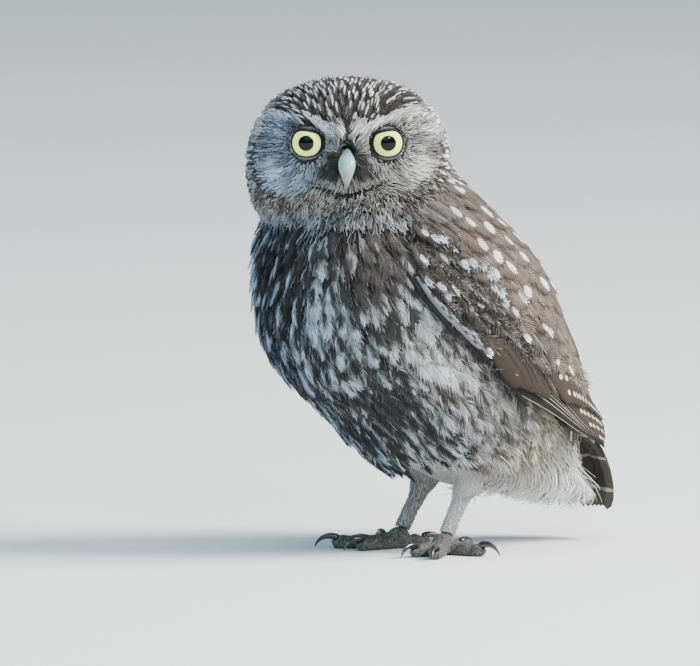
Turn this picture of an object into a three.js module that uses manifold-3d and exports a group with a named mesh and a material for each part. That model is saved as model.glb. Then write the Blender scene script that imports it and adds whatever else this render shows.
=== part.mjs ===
// A little owl at rest, life size, standing on both feet with its head turned to its left.
// Millimetres, +Z up. The body faces -Y, the owl's left is +X, and the soles lie on Z = 0.
import * as THREE from "three";
import { mergeVertices } from "three/addons/utils/BufferGeometryUtils.js";
import Module from "manifold-3d";

const wasm = await Module();
wasm.setup();

const DEG = Math.PI / 180;

// Pieces that touch keep this gap between their faces.
const GAP = 0.3;

// Triangles thinner than this are merged away after the cuts.
const SLIVER = 0.09;

// The trunk's sections lie across a straight axis that starts inside the head and leans back
// and down to the tail. A place along it is a length from TRUNK_TOP.
const TRUNK_TOP = new THREE.Vector3(0, -45, 160);
const TRUNK_LEAN = 51.3 * DEG;
const ALONG = new THREE.Vector3(0, Math.cos(TRUNK_LEAN), -Math.sin(TRUNK_LEAN));
const DORSAL = new THREE.Vector3(0, Math.sin(TRUNK_LEAN), Math.cos(TRUNK_LEAN));
const SIDE = new THREE.Vector3(1, 0, 0);
const SECTION_POWER = 2.2;

// [place along the axis, size]: how far the section's middle lies to the back of the axis,
// then half its depth and half its width, for the bare trunk and for the folded wings over it.
const MIDDLE = track([[-8, -4], [20, -10], [50, -14], [80, -12.5], [115, -11], [145, -2], [168, 9], [198, 14]]);
const TRUNK_DEPTH = track([[-8, 16], [4, 32], [20, 44.5], [40, 52.5], [60, 53.8], [80, 50.8], [100, 49], [120, 44], [145, 32.5], [160, 20.5], [170, 9]]);
const TRUNK_WIDTH = track([[-8, 20], [4, 35], [20, 43], [40, 49], [60, 51], [80, 49.8], [100, 47.5], [120, 42], [145, 29], [160, 19], [170, 10]]);
const WING_DEPTH = track([[0, 31], [20, 44], [40, 53], [60, 57.5], [80, 58.5], [100, 56], [120, 49], [145, 35], [170, 21], [198, 10]]);
const WING_WIDTH = track([[0, 38], [20, 46.5], [40, 52.5], [60, 55.5], [80, 56], [100, 54], [120, 48], [145, 37], [170, 25], [198, 15]]);
const TRUNK_ENDS = [-8, 170];

// Where the turned face rests on the ruff, the trunk gives way: place, angle, reach and depth.
const FACE_HOLLOW = { place: -3, angle: -40 * DEG, along: 13, around: 42 * DEG, deep: 8 };
const TRUNK_RINGS = 22;
const TRUNK_SIDES = 36;

// The head and neck are parted from the body by two slanting cuts: [height at y = 0, slope].
const HEAD_CUT = [145, 0.16];
const NECK_CUT = [126, 0.2];

// The head, in its own frame: +X its left, -Y its face, +Z up.
const HEAD_CENTRE = new THREE.Vector3(0, -38.3, 158.8);
const HEAD_TURN = 54 * DEG;
const HEAD_HALF = { side: 41.7, up: 37.6, down: 34, front: 30, back: 34 };
const HEAD_POWER = 2.4;
const HEAD_RINGS = 21;
const HEAD_SIDES = 36;
const HEAD_FRAME = new THREE.Matrix4()
  .makeTranslation(HEAD_CENTRE.x, HEAD_CENTRE.y, HEAD_CENTRE.z)
  .multiply(new THREE.Matrix4().makeRotationZ(HEAD_TURN));

const EYE = { x: 15.9, z: 12.8, radius: 8.6, opening: 6.2, outward: 6 * DEG, front: 29.4 };
const LID = { reach: 7.1, thick: 1.25 };
const BROW = { thick: 2.6, length: 27 };

// The wings and tail feathers. Vanes are plates of this thickness.
const VANE_THICK = 0.7;
const TAIL_MIDDLE = 18;
const WING_CORE_DROP = 1.3;

// Legs and feet. Toes: heading from straight ahead towards the outer side, length, thickness.
const FOOT_CENTRE = { x: 16, y: -2, z: 4.6 };
const HOCK = { x: 15, y: 8.5, z: 27 };
const TOES = {
  left: [
    { heading: 196 * DEG, length: 13, thick: 3.1 },
    { heading: 14 * DEG, length: 19, thick: 3.2 },
    { heading: 46 * DEG, length: 24, thick: 3.3 },
    { heading: 115 * DEG, length: 19, thick: 3.1 },
  ],
  right: [
    { heading: 190 * DEG, length: 13, thick: 3.1 },
    { heading: -3 * DEG, length: 21, thick: 3.2 },
    { heading: 33 * DEG, length: 27, thick: 3.3 },
    { heading: 104 * DEG, length: 19, thick: 3.1 },
  ],
};
const CLAW = { bend: 6.4, from: 34 * DEG, to: -74 * DEG, thick: 1.65, sunk: 2.2 };

// A smooth curve through [place, size] pairs, as a function of the place.
function track(pairs) {
  const last = pairs.length - 1;
  const rise = (i) => (pairs[i + 1][1] - pairs[i][1]) / (pairs[i + 1][0] - pairs[i][0]);
  const slopes = pairs.map((pair, i) => {
    if (i === 0) return rise(0);
    if (i === last) return rise(last - 1);
    const before = pair[0] - pairs[i - 1][0];
    const after = pairs[i + 1][0] - pair[0];
    return (rise(i - 1) * after + rise(i) * before) / (before + after);
  });
  return (place) => {
    const at = Math.min(Math.max(place, pairs[0][0]), pairs[last][0]);
    let i = 0;
    while (i < last - 1 && at > pairs[i + 1][0]) i += 1;
    const step = pairs[i + 1][0] - pairs[i][0];
    const s = (at - pairs[i][0]) / step;
    const hermite = [
      (1 + 2 * s) * (1 - s) ** 2,
      s * (1 - s) ** 2,
      s * s * (3 - 2 * s),
      s * s * (s - 1),
    ];
    return (
      hermite[0] * pairs[i][1] +
      hermite[1] * step * slopes[i] +
      hermite[2] * pairs[i + 1][1] +
      hermite[3] * step * slopes[i + 1]
    );
  };
}

const mix = (a, b, share) => a + (b - a) * share;
const bump = (distance, reach) => Math.exp(-((distance / reach) ** 2));
const power = (value, exponent) => Math.sign(value) * Math.abs(value) ** exponent;

// Solids from geometries, and back.
function solidOf(geometry) {
  const bare = geometry.index ? geometry.toNonIndexed() : geometry.clone();
  for (const name of Object.keys(bare.attributes)) {
    if (name !== "position") bare.deleteAttribute(name);
  }
  const merged = mergeVertices(bare, 1e-4);
  const made = new wasm.Manifold(
    new wasm.Mesh({
      numProp: 3,
      vertProperties: merged.attributes.position.array,
      triVerts: new Uint32Array(merged.index.array),
    }),
  );
  return made;
}

function geometryOf(solid) {
  const mesh = solid.getMesh();
  const geometry = new THREE.BufferGeometry();
  geometry.setAttribute("position", new THREE.BufferAttribute(mesh.vertProperties, 3));
  geometry.setIndex(new THREE.BufferAttribute(mesh.triVerts, 1));
  return geometry;
}

// The largest closed surface of a solid, without the slivers that cuts leave.
function largest(solid) {
  const outer = (whole) =>
    whole.decompose().reduce((best, part) => (part.volume() > best.volume() ? part : best));
  return outer(outer(solid).simplify(SLIVER));
}

const cut = (solid, ...tools) => tools.reduce((left, tool) => left.subtract(tool), solid);
const join = (pieces) => wasm.Manifold.union(pieces);

// A closed body from points and triangles, turned so that its faces point out.
function body(points, triangles) {
  const volume = triangles.reduce((sum, [a, b, c]) => {
    const cross = new THREE.Vector3().crossVectors(points[b], points[c]);
    return sum + points[a].dot(cross);
  }, 0);
  const facing = volume < 0 ? triangles.map(([a, b, c]) => [a, c, b]) : triangles;
  const geometry = new THREE.BufferGeometry().setFromPoints(points);
  geometry.setIndex(facing.flat());
  return solidOf(geometry);
}

// A skin over closed rings of equally many points, with both ends closed.
function loft(rings) {
  const sides = rings[0].length;
  const points = rings.flat();
  const triangles = [];
  for (let i = 0; i < rings.length - 1; i++) {
    for (let j = 0; j < sides; j++) {
      const next = (j + 1) % sides;
      const [a, b] = [i * sides + j, i * sides + next];
      const [c, d] = [a + sides, b + sides];
      triangles.push([a, b, d], [a, d, c]);
    }
  }
  for (const [ring, flip] of [[0, true], [rings.length - 1, false]]) {
    const middle = new THREE.Vector3();
    rings[ring].forEach((point) => middle.addScaledVector(point, 1 / sides));
    const centre = points.push(middle) - 1;
    for (let j = 0; j < sides; j++) {
      const [a, b] = [ring * sides + j, ring * sides + ((j + 1) % sides)];
      triangles.push(flip ? [centre, b, a] : [centre, a, b]);
    }
  }
  return body(points, triangles);
}

// A plate between two equal grids of points, cut into triangles alike on both faces.
function plate(top, bottom) {
  const [rows, columns] = [top.length, top[0].length];
  const points = [...top.flat(), ...bottom.flat()];
  const under = rows * columns;
  const at = (i, j) => i * columns + j;
  const triangles = [];
  for (let i = 0; i < rows - 1; i++) {
    for (let j = 0; j < columns - 1; j++) {
      const [a, b, c, d] = [at(i, j), at(i, j + 1), at(i + 1, j), at(i + 1, j + 1)];
      triangles.push([a, b, d], [a, d, c]);
      triangles.push([under + a, under + d, under + b], [under + a, under + c, under + d]);
    }
  }
  const edge = [];
  for (let j = 0; j < columns - 1; j++) edge.push(at(0, j));
  for (let i = 0; i < rows - 1; i++) edge.push(at(i, columns - 1));
  for (let j = columns - 1; j > 0; j--) edge.push(at(rows - 1, j));
  for (let i = rows - 1; i > 0; i--) edge.push(at(i, 0));
  edge.forEach((a, i) => {
    const b = edge[(i + 1) % edge.length];
    triangles.push([a, under + a, under + b], [a, under + b, b]);
  });
  return body(points, triangles);
}

// A round tube through stations { at, across, deep }, each ring square to the path. The rings'
// width lies along the given side direction.
function tube(stations, side, sides, grow = 0) {
  const path = new THREE.CatmullRomCurve3(stations.map((station) => station.at));
  const last = stations.length - 1;
  const rings = stations.map((station, i) => {
    const tangent = path.getTangent(i / last);
    const across = side.clone().addScaledVector(tangent, -side.dot(tangent)).normalize();
    const deep = new THREE.Vector3().crossVectors(tangent, across);
    const end = i === 0 ? -grow : i === last ? grow : 0;
    return Array.from({ length: sides }, (_, j) => {
      const turn = (j / sides) * 2 * Math.PI;
      return station.at
        .clone()
        .addScaledVector(tangent, end)
        .addScaledVector(across, (station.across + grow) * Math.cos(turn))
        .addScaledVector(deep, (station.deep + grow) * Math.sin(turn));
    });
  });
  return loft(rings);
}

// A point on the trunk, or on the folded wings over it: place along the axis, angle from the
// left side towards the back, and height over that surface.
function trunkPoint(place, angle, height, width = TRUNK_WIDTH, depth = TRUNK_DEPTH) {
  const turn = angle > Math.PI ? angle - 2 * Math.PI : angle;
  const hollow =
    FACE_HOLLOW.deep *
    bump(place - FACE_HOLLOW.place, FACE_HOLLOW.along) *
    bump(turn - FACE_HOLLOW.angle, FACE_HOLLOW.around);
  const out = height - hollow;
  const across = (width(place) + out) * power(Math.cos(angle), 2 / SECTION_POWER);
  const deep = (depth(place) + out) * power(Math.sin(angle), 2 / SECTION_POWER);
  return TRUNK_TOP.clone()
    .addScaledVector(ALONG, place)
    .addScaledVector(DORSAL, MIDDLE(place) + deep)
    .addScaledVector(SIDE, across);
}

const wingPoint = (place, angle, height) => trunkPoint(place, angle, height, WING_WIDTH, WING_DEPTH);

function trunk(grow) {
  const [from, to] = TRUNK_ENDS;
  const rings = Array.from({ length: TRUNK_RINGS }, (_, i) => {
    const place = mix(from - grow, to + grow, i / (TRUNK_RINGS - 1));
    return Array.from({ length: TRUNK_SIDES }, (_, j) =>
      trunkPoint(place, (j / TRUNK_SIDES) * 2 * Math.PI, grow),
    );
  });
  return loft(rings);
}

// How far the face stands out from the plain round head, by place on the face in mm.
function faceRelief(x, z) {
  const side = Math.abs(x);
  const eye = Math.hypot(side - EYE.x, z - EYE.z + 1);
  const bill = Math.hypot(side / 1.3, z - 4);
  const disc = Math.hypot(side / 34, (z - 4) / 24);
  const browLine = EYE.z + 7.5 + (side - 10) * 0.28;
  const brow = bump(z - browLine, 3.6) * bump(side - 17, 13);
  return (
    5.5 * bump(bill, 8) -
    3.8 * bump(eye, 9.5) +
    1.2 * brow +
    1.5 * bump(disc - 1, 0.14) * (z < 8 ? 1 : 0.3)
  );
}

// The round head with its face: rings round the line from the bill to the nape.
function headBlock(grow) {
  const point = (polar, turn) => {
    const direction = new THREE.Vector3(
      Math.sin(polar) * Math.cos(turn),
      -Math.cos(polar),
      Math.sin(polar) * Math.sin(turn),
    );
    const half = {
      x: HEAD_HALF.side,
      y: direction.y < 0 ? HEAD_HALF.front : HEAD_HALF.back,
      z: direction.z > 0 ? HEAD_HALF.up : HEAD_HALF.down,
    };
    const sum = ["x", "y", "z"].reduce(
      (total, key) => total + Math.abs(direction[key] / half[key]) ** HEAD_POWER,
      0,
    );
    const reach = sum ** (-1 / HEAD_POWER);
    const face = Math.max(0, Math.cos(polar)) ** 0.5;
    const relief = face > 0 ? faceRelief(direction.x * reach, direction.z * reach) * face : 0;
    return direction.multiplyScalar(reach + relief + grow);
  };
  const rings = Array.from({ length: HEAD_RINGS }, (_, i) => {
    const share = (i + 0.5) / HEAD_RINGS;
    const polar = Math.PI * share ** 1.25;
    return Array.from({ length: HEAD_SIDES }, (_, j) =>
      point(polar, (j / HEAD_SIDES) * 2 * Math.PI),
    );
  });
  return loft(rings);
}

// The frame of one eye: its centre, and the way it looks.
function eyeFrame(side) {
  const centre = new THREE.Vector3(side * EYE.x, -EYE.front + EYE.radius, EYE.z);
  return new THREE.Matrix4()
    .makeTranslation(centre.x, centre.y, centre.z)
    .multiply(new THREE.Matrix4().makeRotationZ(side * EYE.outward));
}

function eyeball(side, grow) {
  const geometry = new THREE.SphereGeometry(EYE.radius + grow, 16, 9);
  return solidOf(geometry.applyMatrix4(eyeFrame(side)));
}

// The bare rim of the lids round an eye, thicker above it.
function lids(side) {
  const back = Math.sqrt(EYE.radius ** 2 - EYE.opening ** 2);
  const sides = 5;
  const rings = Array.from({ length: 16 }, (_, i) => {
    const turn = (i / 16) * 2 * Math.PI;
    const thick = LID.thick * (1 + 0.35 * Math.max(0, Math.sin(turn)));
    return Array.from({ length: sides }, (_, j) => {
      const round = (j / sides) * 2 * Math.PI;
      const reach = LID.reach + thick * Math.cos(round);
      return new THREE.Vector3(
        reach * Math.cos(turn),
        -back + 0.3 + thick * 1.3 * Math.sin(round),
        reach * Math.sin(turn),
      ).applyMatrix4(eyeFrame(side));
    });
  });
  return ringBody(rings);
}

// A closed ring-shaped body over rings that meet end to end.
function ringBody(rings) {
  const [count, sides] = [rings.length, rings[0].length];
  const triangles = [];
  for (let i = 0; i < count; i++) {
    for (let j = 0; j < sides; j++) {
      const next = (j + 1) % sides;
      const after = (i + 1) % count;
      const [a, b] = [i * sides + j, i * sides + next];
      const [c, d] = [after * sides + j, after * sides + next];
      triangles.push([a, b, d], [a, d, c]);
    }
  }
  return body(rings.flat(), triangles);
}

// A point of the face by its place from the middle, seen from the front.
function facePoint(x, z, height) {
  const tall = z > 0 ? HEAD_HALF.up : HEAD_HALF.down;
  const left = 1 - Math.abs(x / HEAD_HALF.side) ** HEAD_POWER - Math.abs(z / tall) ** HEAD_POWER;
  const deep = HEAD_HALF.front * Math.max(left, 0) ** (1 / HEAD_POWER);
  return new THREE.Vector3(x, -deep - faceRelief(x, z) - height, z);
}

// The brow over an eye: a ridge of stiff feathers from the bill up and out.
function brow(side) {
  const stations = [0, 0.25, 0.5, 0.75, 1].map((share) => ({
    at: facePoint(
      side * (4 + BROW.length * share),
      EYE.z + 3.2 + 11 * share - 2.6 * share ** 2,
      0.9 - 3.1 * share ** 4,
    ),
    across: BROW.thick * (0.6 + 1.3 * share * (1 - share) - 0.3 * share ** 4),
    deep: BROW.thick * (0.6 + 1.2 * share * (1 - share) - 0.2 * share ** 4),
  }));
  return tube(stations, new THREE.Vector3(0, -1, 0), 7);
}

// The hooked upper bill and the lower bill behind its tip.
function upperBill(grow) {
  const stations = [
    [-23, 9.8, 2.2, 2.6],
    [-30, 10.6, 2.3, 2.6],
    [-34.6, 9.4, 3.1, 3.1],
    [-37.9, 6.2, 3.9, 3.2],
    [-39.6, 1.6, 2.9, 2.4],
    [-39.7, -2.2, 1.6, 1.4],
    [-38.7, -5.4, 0.4, 0.4],
  ].map(([y, z, across, deep]) => ({ at: new THREE.Vector3(0, y, z), across, deep }));
  return tube(stations, SIDE, 10, grow);
}

function lowerBill(grow) {
  const stations = [
    [-23, 2.6, 3.3, 2],
    [-30, 2.4, 3.2, 2],
    [-34.8, 0.8, 2.5, 1.6],
    [-36.9, -2, 1.2, 0.9],
  ].map(([y, z, across, deep]) => ({ at: new THREE.Vector3(0, y, z), across, deep }));
  return tube(stations, SIDE, 8, grow);
}

function nostril(side) {
  const pit = new THREE.SphereGeometry(0.75, 8, 6);
  pit.translate(side * 2.9, -36.4, 9.6);
  return solidOf(pit);
}

// One feather's plate on the folded wing, from its root place and angle to its tip.
function wingVane({ root, tip, width, sink, rise, twist }) {
  const profile = [[0, 0.6, 1.2], [0.45, 1, 2.6], [0.82, 0.88, 2], [1, 0.34, 0.9]];
  const radius = (WING_WIDTH(root[0]) + WING_DEPTH(root[0])) / 2;
  const run = [tip[0] - root[0], (tip[1] - root[1]) * radius];
  const length = Math.hypot(...run);
  const grid = (under) =>
    profile.map(([share, wide, thick]) =>
      [-1, 0, 1].map((across) => {
        const half = (across * wide * width) / 2;
        const place = mix(root[0], tip[0], share) - (half * run[1]) / length;
        const angle = mix(root[1], tip[1], share) + (half * run[0]) / length / radius;
        const camber = across === 0 ? 0.25 : across * twist;
        return wingPoint(place, angle, mix(-sink, rise, share ** 0.7) + camber - under * thick);
      }),
    );
  return plate(grid(0), grid(VANE_THICK));
}

// The tiers of the folded wing, from the shoulder to the tip: how many feathers, the tips of
// the first and the last as [place, degrees], their size, and how they lie.
const WING_TIERS = [
  { count: 5, first: [128, 11], last: [166, 22], length: 56, width: 8.4, lean: -3, sink: 3.4, rise: -1.6 },
  { count: 6, first: [124, 18], last: [162, 50], length: 44, width: 14, lean: -2, sink: 3.2, rise: -0.4 },
  { count: 2, first: [138, 62], last: [150, 74], length: 40, width: 18, lean: 0, sink: 3, rise: 0.3 },
  { count: 3, first: [72, -4], last: [118, 5], length: 34, width: 9, lean: -1, sink: 3, rise: -0.4 },
  { count: 5, first: [88, 2], last: [124, 33], length: 26, width: 13, lean: 2, sink: 2.6, rise: 0.1 },
  { count: 3, first: [63, -2], last: [90, 18], length: 23, width: 14, lean: 4, sink: 2.5, rise: 0.5 },
  { count: 3, first: [40, -3], last: [54, 11], length: 20, width: 12, lean: 5, sink: 2.4, rise: 0.5 },
  { count: 4, first: [52, 23], last: [108, 34], length: 25, width: 17, lean: 4, sink: 2.4, rise: 0.7 },
  { count: 3, first: [58, 44], last: [104, 52], length: 27, width: 19, lean: 2, sink: 2.4, rise: 0.8 },
  { count: 3, first: [66, 64], last: [116, 70], length: 28, width: 19, lean: 0, sink: 2.4, rise: 0.8 },
];

// The left wing's edges as angles in degrees along the axis: lower edge, edge along the back.
const WING_LOWER = track([[16, 12], [26, 0], [44, -8], [70, -7], [92, -4], [120, 6], [140, 9]]);
const WING_UPPER = track([[16, 50], [30, 70], [60, 82], [100, 84], [140, 82]]);
const WING_SPAN = [17, 134];

function wingCore() {
  const rows = 9;
  const columns = 7;
  const grid = (height) =>
    Array.from({ length: rows }, (_, i) => {
      const place = mix(...WING_SPAN, i / (rows - 1));
      return Array.from({ length: columns }, (_, j) => {
        const angle = mix(WING_LOWER(place), WING_UPPER(place), j / (columns - 1)) * DEG;
        const edge = Math.sin((Math.PI * j) / (columns - 1)) ** 0.5;
        const end = Math.min(1, Math.min(i, rows - 1 - i) / 2) ** 0.5;
        return wingPoint(place, angle, height === 0 ? -WING_CORE_DROP - 2 * (1 - edge * end) : height);
      });
    });
  return plate(grid(0), grid(-9));
}

function leftWing() {
  const vanes = WING_TIERS.flatMap((tier) =>
    Array.from({ length: tier.count }, (_, i) => {
      const share = i / (tier.count - 1);
      const uneven = 1.2 * Math.sin(5 * i + tier.first[0]);
      const tip = [mix(tier.first[0], tier.last[0], share) + uneven, mix(tier.first[1], tier.last[1], share)];
      return wingVane({
        root: [tip[0] - tier.length, (tip[1] + tier.lean) * DEG],
        tip: [tip[0], tip[1] * DEG],
        width: tier.width,
        sink: tier.sink,
        rise: tier.rise,
        twist: 0.35,
      });
    }),
  );
  const half = new THREE.BoxGeometry(80, 300, 300).translate(40.5, 0, 100);
  return join([wingCore(), ...vanes]).intersect(solidOf(half));
}

// The loose white feathers under the tail, a tapering mass behind the belly.
function undertail(grow) {
  const stations = [
    [146, 0, 24, 22],
    [157, -3.6, 20, 16.2],
    [167, 1.2, 15.5, 10.6],
    [178, 5.6, 11, 6.4],
    [186, 8.8, 7.5, 3.6],
    [191, 10.8, 3.2, 1.4],
  ].map(([place, deep, wide, tall]) => ({
    at: TRUNK_TOP.clone().addScaledVector(ALONG, place).addScaledVector(DORSAL, deep),
    across: wide,
    deep: tall,
  }));
  return tube(stations, SIDE, 16, grow);
}

// The tail: twelve long feathers folded narrow, the middle pair on top, over a short root.
function tail() {
  const middle = TAIL_MIDDLE;
  const [from, to] = [148, 198];
  const at = (place, deep, across) =>
    TRUNK_TOP.clone()
      .addScaledVector(ALONG, place)
      .addScaledVector(DORSAL, deep)
      .addScaledVector(SIDE, across);
  const feathers = 12;
  const profile = [[0, 0.7], [0.35, 0.92], [0.7, 1], [0.93, 0.85], [1, 0.45]];
  const vanes = Array.from({ length: feathers }, (_, i) => {
    const out = ((i + 0.5) / feathers) * 2 - 1;
    const over = 2.6 - 5.4 * Math.abs(out) ** 1.3;
    const length = to - from - 3.5 * Math.abs(out);
    const grid = (under) =>
      profile.map(([share, wide]) =>
        [-1, 0, 1].map((across) => {
          const half = across * wide * 5.4;
          const spread = out * mix(5.5, 8.8, share ** 0.7);
          const camber = across === 0 ? 0.3 : -0.3 * across * Math.sign(out);
          const sag = 5 * share ** 2 - 1.5 * share;
          return at(from + length * share, middle + over + camber - under - sag, spread + half);
        }),
      );
    return plate(grid(0), grid(VANE_THICK));
  });
  const root = tube(
    [
      { at: at(146, middle, 0), across: 11, deep: 6 },
      { at: at(160, middle, 0), across: 11.5, deep: 5 },
      { at: at(174, middle - 0.4, 0), across: 10, deep: 3.4 },
      { at: at(182, middle - 0.6, 0), across: 6.5, deep: 1.6 },
    ],
    SIDE,
    12,
  );
  return join([root, ...vanes]);
}

// The feathered thigh below the belly, and the leg from the hock to the foot.
function thigh(side, grow) {
  const stations = [
    [side * 18, 17, 52, 15, 17],
    [side * 16.5, 13, 40, 12, 14],
    [side * 15.4, 9.8, 30, 8, 9.5],
    [side * HOCK.x, HOCK.y, HOCK.z - 3, 4.6, 5.4],
  ].map(([x, y, z, across, deep]) => ({ at: new THREE.Vector3(x, y, z), across, deep }));
  return tube(stations, SIDE, 14, grow);
}

function tarsus(side) {
  const stations = [
    [side * HOCK.x, HOCK.y + 1, HOCK.z + 4, 3.6, 3.9],
    [side * HOCK.x, HOCK.y, HOCK.z - 3, 3.9, 4.2],
    [side * 15.5, 3.2, 15, 3.4, 3.6],
    [side * FOOT_CENTRE.x, -1.2, 6.5, 3.8, 4],
    [side * FOOT_CENTRE.x, -2, 4, 3.6, 3.6],
  ].map(([x, y, z, across, deep]) => ({ at: new THREE.Vector3(x, y, z), across, deep }));
  return tube(stations, SIDE, 12);
}

// The way a toe points, level on the ground.
function heading(side, toe) {
  return new THREE.Vector3(side * Math.sin(toe.heading), -Math.cos(toe.heading), 0);
}

function toeTip(side, toe) {
  const centre = new THREE.Vector3(side * FOOT_CENTRE.x, FOOT_CENTRE.y, 0);
  return centre.addScaledVector(heading(side, toe), toe.length);
}

function toe(side, spec) {
  const centre = new THREE.Vector3(side * FOOT_CENTRE.x, FOOT_CENTRE.y, 0);
  const end = toeTip(side, spec);
  const profile = [[0, 1.25], [0.22, 1.05], [0.42, 0.95], [0.58, 1.06], [0.74, 0.92], [0.9, 1.02], [1, 0.6]];
  const stations = profile.map(([share, wide]) => {
    const thick = spec.thick * wide;
    const at = centre.clone().lerp(end, share);
    at.z = thick - 0.55;
    return { at, across: thick, deep: thick };
  });
  const across = new THREE.Vector3().crossVectors(heading(side, spec), new THREE.Vector3(0, 0, 1));
  return tube(stations, across, 7);
}

// A claw: a tapering arc from inside the toe's end, up over and down to its point.
function claw(side, spec, grow) {
  const forward = heading(side, spec);
  const start = toeTip(side, spec).addScaledVector(forward, -CLAW.sunk);
  start.z = 4.1;
  const up = new THREE.Vector3(0, 0, 1);
  const steps = 6;
  const stations = Array.from({ length: steps + 1 }, (_, i) => {
    const share = i / steps;
    const bend = mix(CLAW.from, CLAW.to, share);
    const at = start
      .clone()
      .addScaledVector(forward, CLAW.bend * (Math.sin(CLAW.from) - Math.sin(bend)))
      .addScaledVector(up, CLAW.bend * (Math.cos(bend) - Math.cos(CLAW.from)));
    const thick = CLAW.thick * (1 - share) ** 0.75 + 0.12;
    return { at, across: thick * 0.86, deep: thick };
  });
  return tube(stations, new THREE.Vector3().crossVectors(forward, up), 7, grow);
}

function foot(side, toes) {
  const ankle = new THREE.SphereGeometry(4.9, 12, 8);
  ankle.scale(1, 1, 0.92);
  ankle.translate(side * FOOT_CENTRE.x, FOOT_CENTRE.y, FOOT_CENTRE.z);
  const whole = join([solidOf(ankle), ...toes.map((spec) => toe(side, spec))]);
  return whole.trimByPlane([0, 0, 1], 0);
}

// A slanting cut across the neck: what lies above it, or below it, less half the gap.
function sideOfCut(solid, [height, slope], above) {
  const scale = Math.hypot(1, slope);
  const normal = [0, -slope / scale, 1 / scale];
  const offset = height / scale;
  return above
    ? solid.trimByPlane(normal, offset + GAP / 2)
    : solid.trimByPlane(normal.map((value) => -value), -offset + GAP / 2);
}

const SURFACES = {
  plumage: { color: 0x8a8078, roughness: 0.9, metalness: 0 },
  breast: { color: 0x9b9792, roughness: 0.95, metalness: 0 },
  wing: { color: 0x6d5f54, roughness: 0.85, metalness: 0 },
  tail: { color: 0x75675a, roughness: 0.85, metalness: 0 },
  leg: { color: 0xa7a39c, roughness: 0.95, metalness: 0 },
  toe: { color: 0x55504b, roughness: 0.8, metalness: 0 },
  claw: { color: 0x1d1a1c, roughness: 0.3, metalness: 0 },
  bill: { color: 0x9fa68f, roughness: 0.35, metalness: 0 },
  eye: { color: 0xe4e85a, roughness: 0.05, metalness: 0 },
};

// Builds every solid, each cut clear of those it rests against.
function build() {
  const nodes = {};
  const headTools = { upper: upperBill(GAP), lower: lowerBill(GAP) };
  const inPlace = (solid) => solid.transform(HEAD_FRAME.elements);

  const face = cut(
    join([headBlock(0), lids(1), lids(-1), brow(1), brow(-1)]),
    eyeball(1, GAP),
    eyeball(-1, GAP),
    headTools.upper,
    headTools.lower,
  );
  const whole = join([inPlace(face), trunk(0), undertail(0)]);
  const sockets = [eyeball(1, GAP), eyeball(-1, GAP), headTools.upper, headTools.lower].map(inPlace);
  const owl = cut(whole, ...sockets);
  nodes.head = [sideOfCut(owl, HEAD_CUT, true), "plumage"];
  const belowHead = sideOfCut(owl, HEAD_CUT, false);
  nodes.neck = [sideOfCut(belowHead, NECK_CUT, true), "plumage"];
  nodes.torso = [sideOfCut(belowHead, NECK_CUT, false), "breast"];
  nodes.eye_left = [inPlace(eyeball(1, 0)), "eye"];
  nodes.eye_right = [inPlace(eyeball(-1, 0)), "eye"];
  nodes.bill_upper = [inPlace(cut(upperBill(0), nostril(1), nostril(-1))), "bill"];
  nodes.bill_lower = [inPlace(cut(lowerBill(0), headTools.upper)), "bill"];

  const grownTrunk = join([trunk(GAP), inPlace(headBlock(GAP))]);
  const wing = cut(leftWing(), grownTrunk, undertail(GAP));
  nodes.wing_left = [wing, "wing"];
  nodes.wing_right = [wing.mirror([1, 0, 0]), "wing"];
  nodes.tail = [cut(tail(), trunk(GAP), undertail(GAP)), "tail"];

  for (const [name, side] of [["left", 1], ["right", -1]]) {
    const toes = TOES[name];
    const claws = toes.map((spec) => claw(side, spec, 0));
    const grownClaws = toes.map((spec) => claw(side, spec, GAP));
    const bareFoot = foot(side, toes);
    const grownFoot = solidOf(
      new THREE.SphereGeometry(4.9 + GAP, 16, 10)
        .scale(1, 1, 0.92)
        .translate(side * FOOT_CENTRE.x, FOOT_CENTRE.y, FOOT_CENTRE.z),
    );
    const lowThigh = cut(thigh(side, 0), trunk(GAP), undertail(GAP));
    nodes["thigh_" + name] = [lowThigh, "leg"];
    nodes["tarsus_" + name] = [
      cut(tarsus(side), thigh(side, GAP), grownFoot, trunk(GAP)).trimByPlane([0, 0, 1], 5.5),
      "leg",
    ];
    nodes["foot_" + name] = [cut(bareFoot, ...grownClaws), "toe"];
    claws.forEach((solid, i) => {
      nodes["claw_" + name + "_" + (i + 1)] = [solid, "claw"];
    });
  }
  return nodes;
}

const owl = new THREE.Group();
for (const [name, [solid, surface]] of Object.entries(build())) {
  const mesh = new THREE.Mesh(
    geometryOf(largest(solid)),
    new THREE.MeshStandardMaterial(SURFACES[surface]),
  );
  mesh.name = name;
  owl.add(mesh);
}

// The origin is the middle of the bounding box, on the ground.
const box = new THREE.Box3().setFromObject(owl);
const centre = box.getCenter(new THREE.Vector3());
owl.position.set(-centre.x, -centre.y, -box.min.z);

export default owl;
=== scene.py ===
"""A little owl at rest, life size: its skin, feathers, eyes, bill and feet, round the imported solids."""

import math

import bmesh
import bpy
import numpy as np
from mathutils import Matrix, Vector
from mathutils.bvhtree import BVHTree


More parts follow.
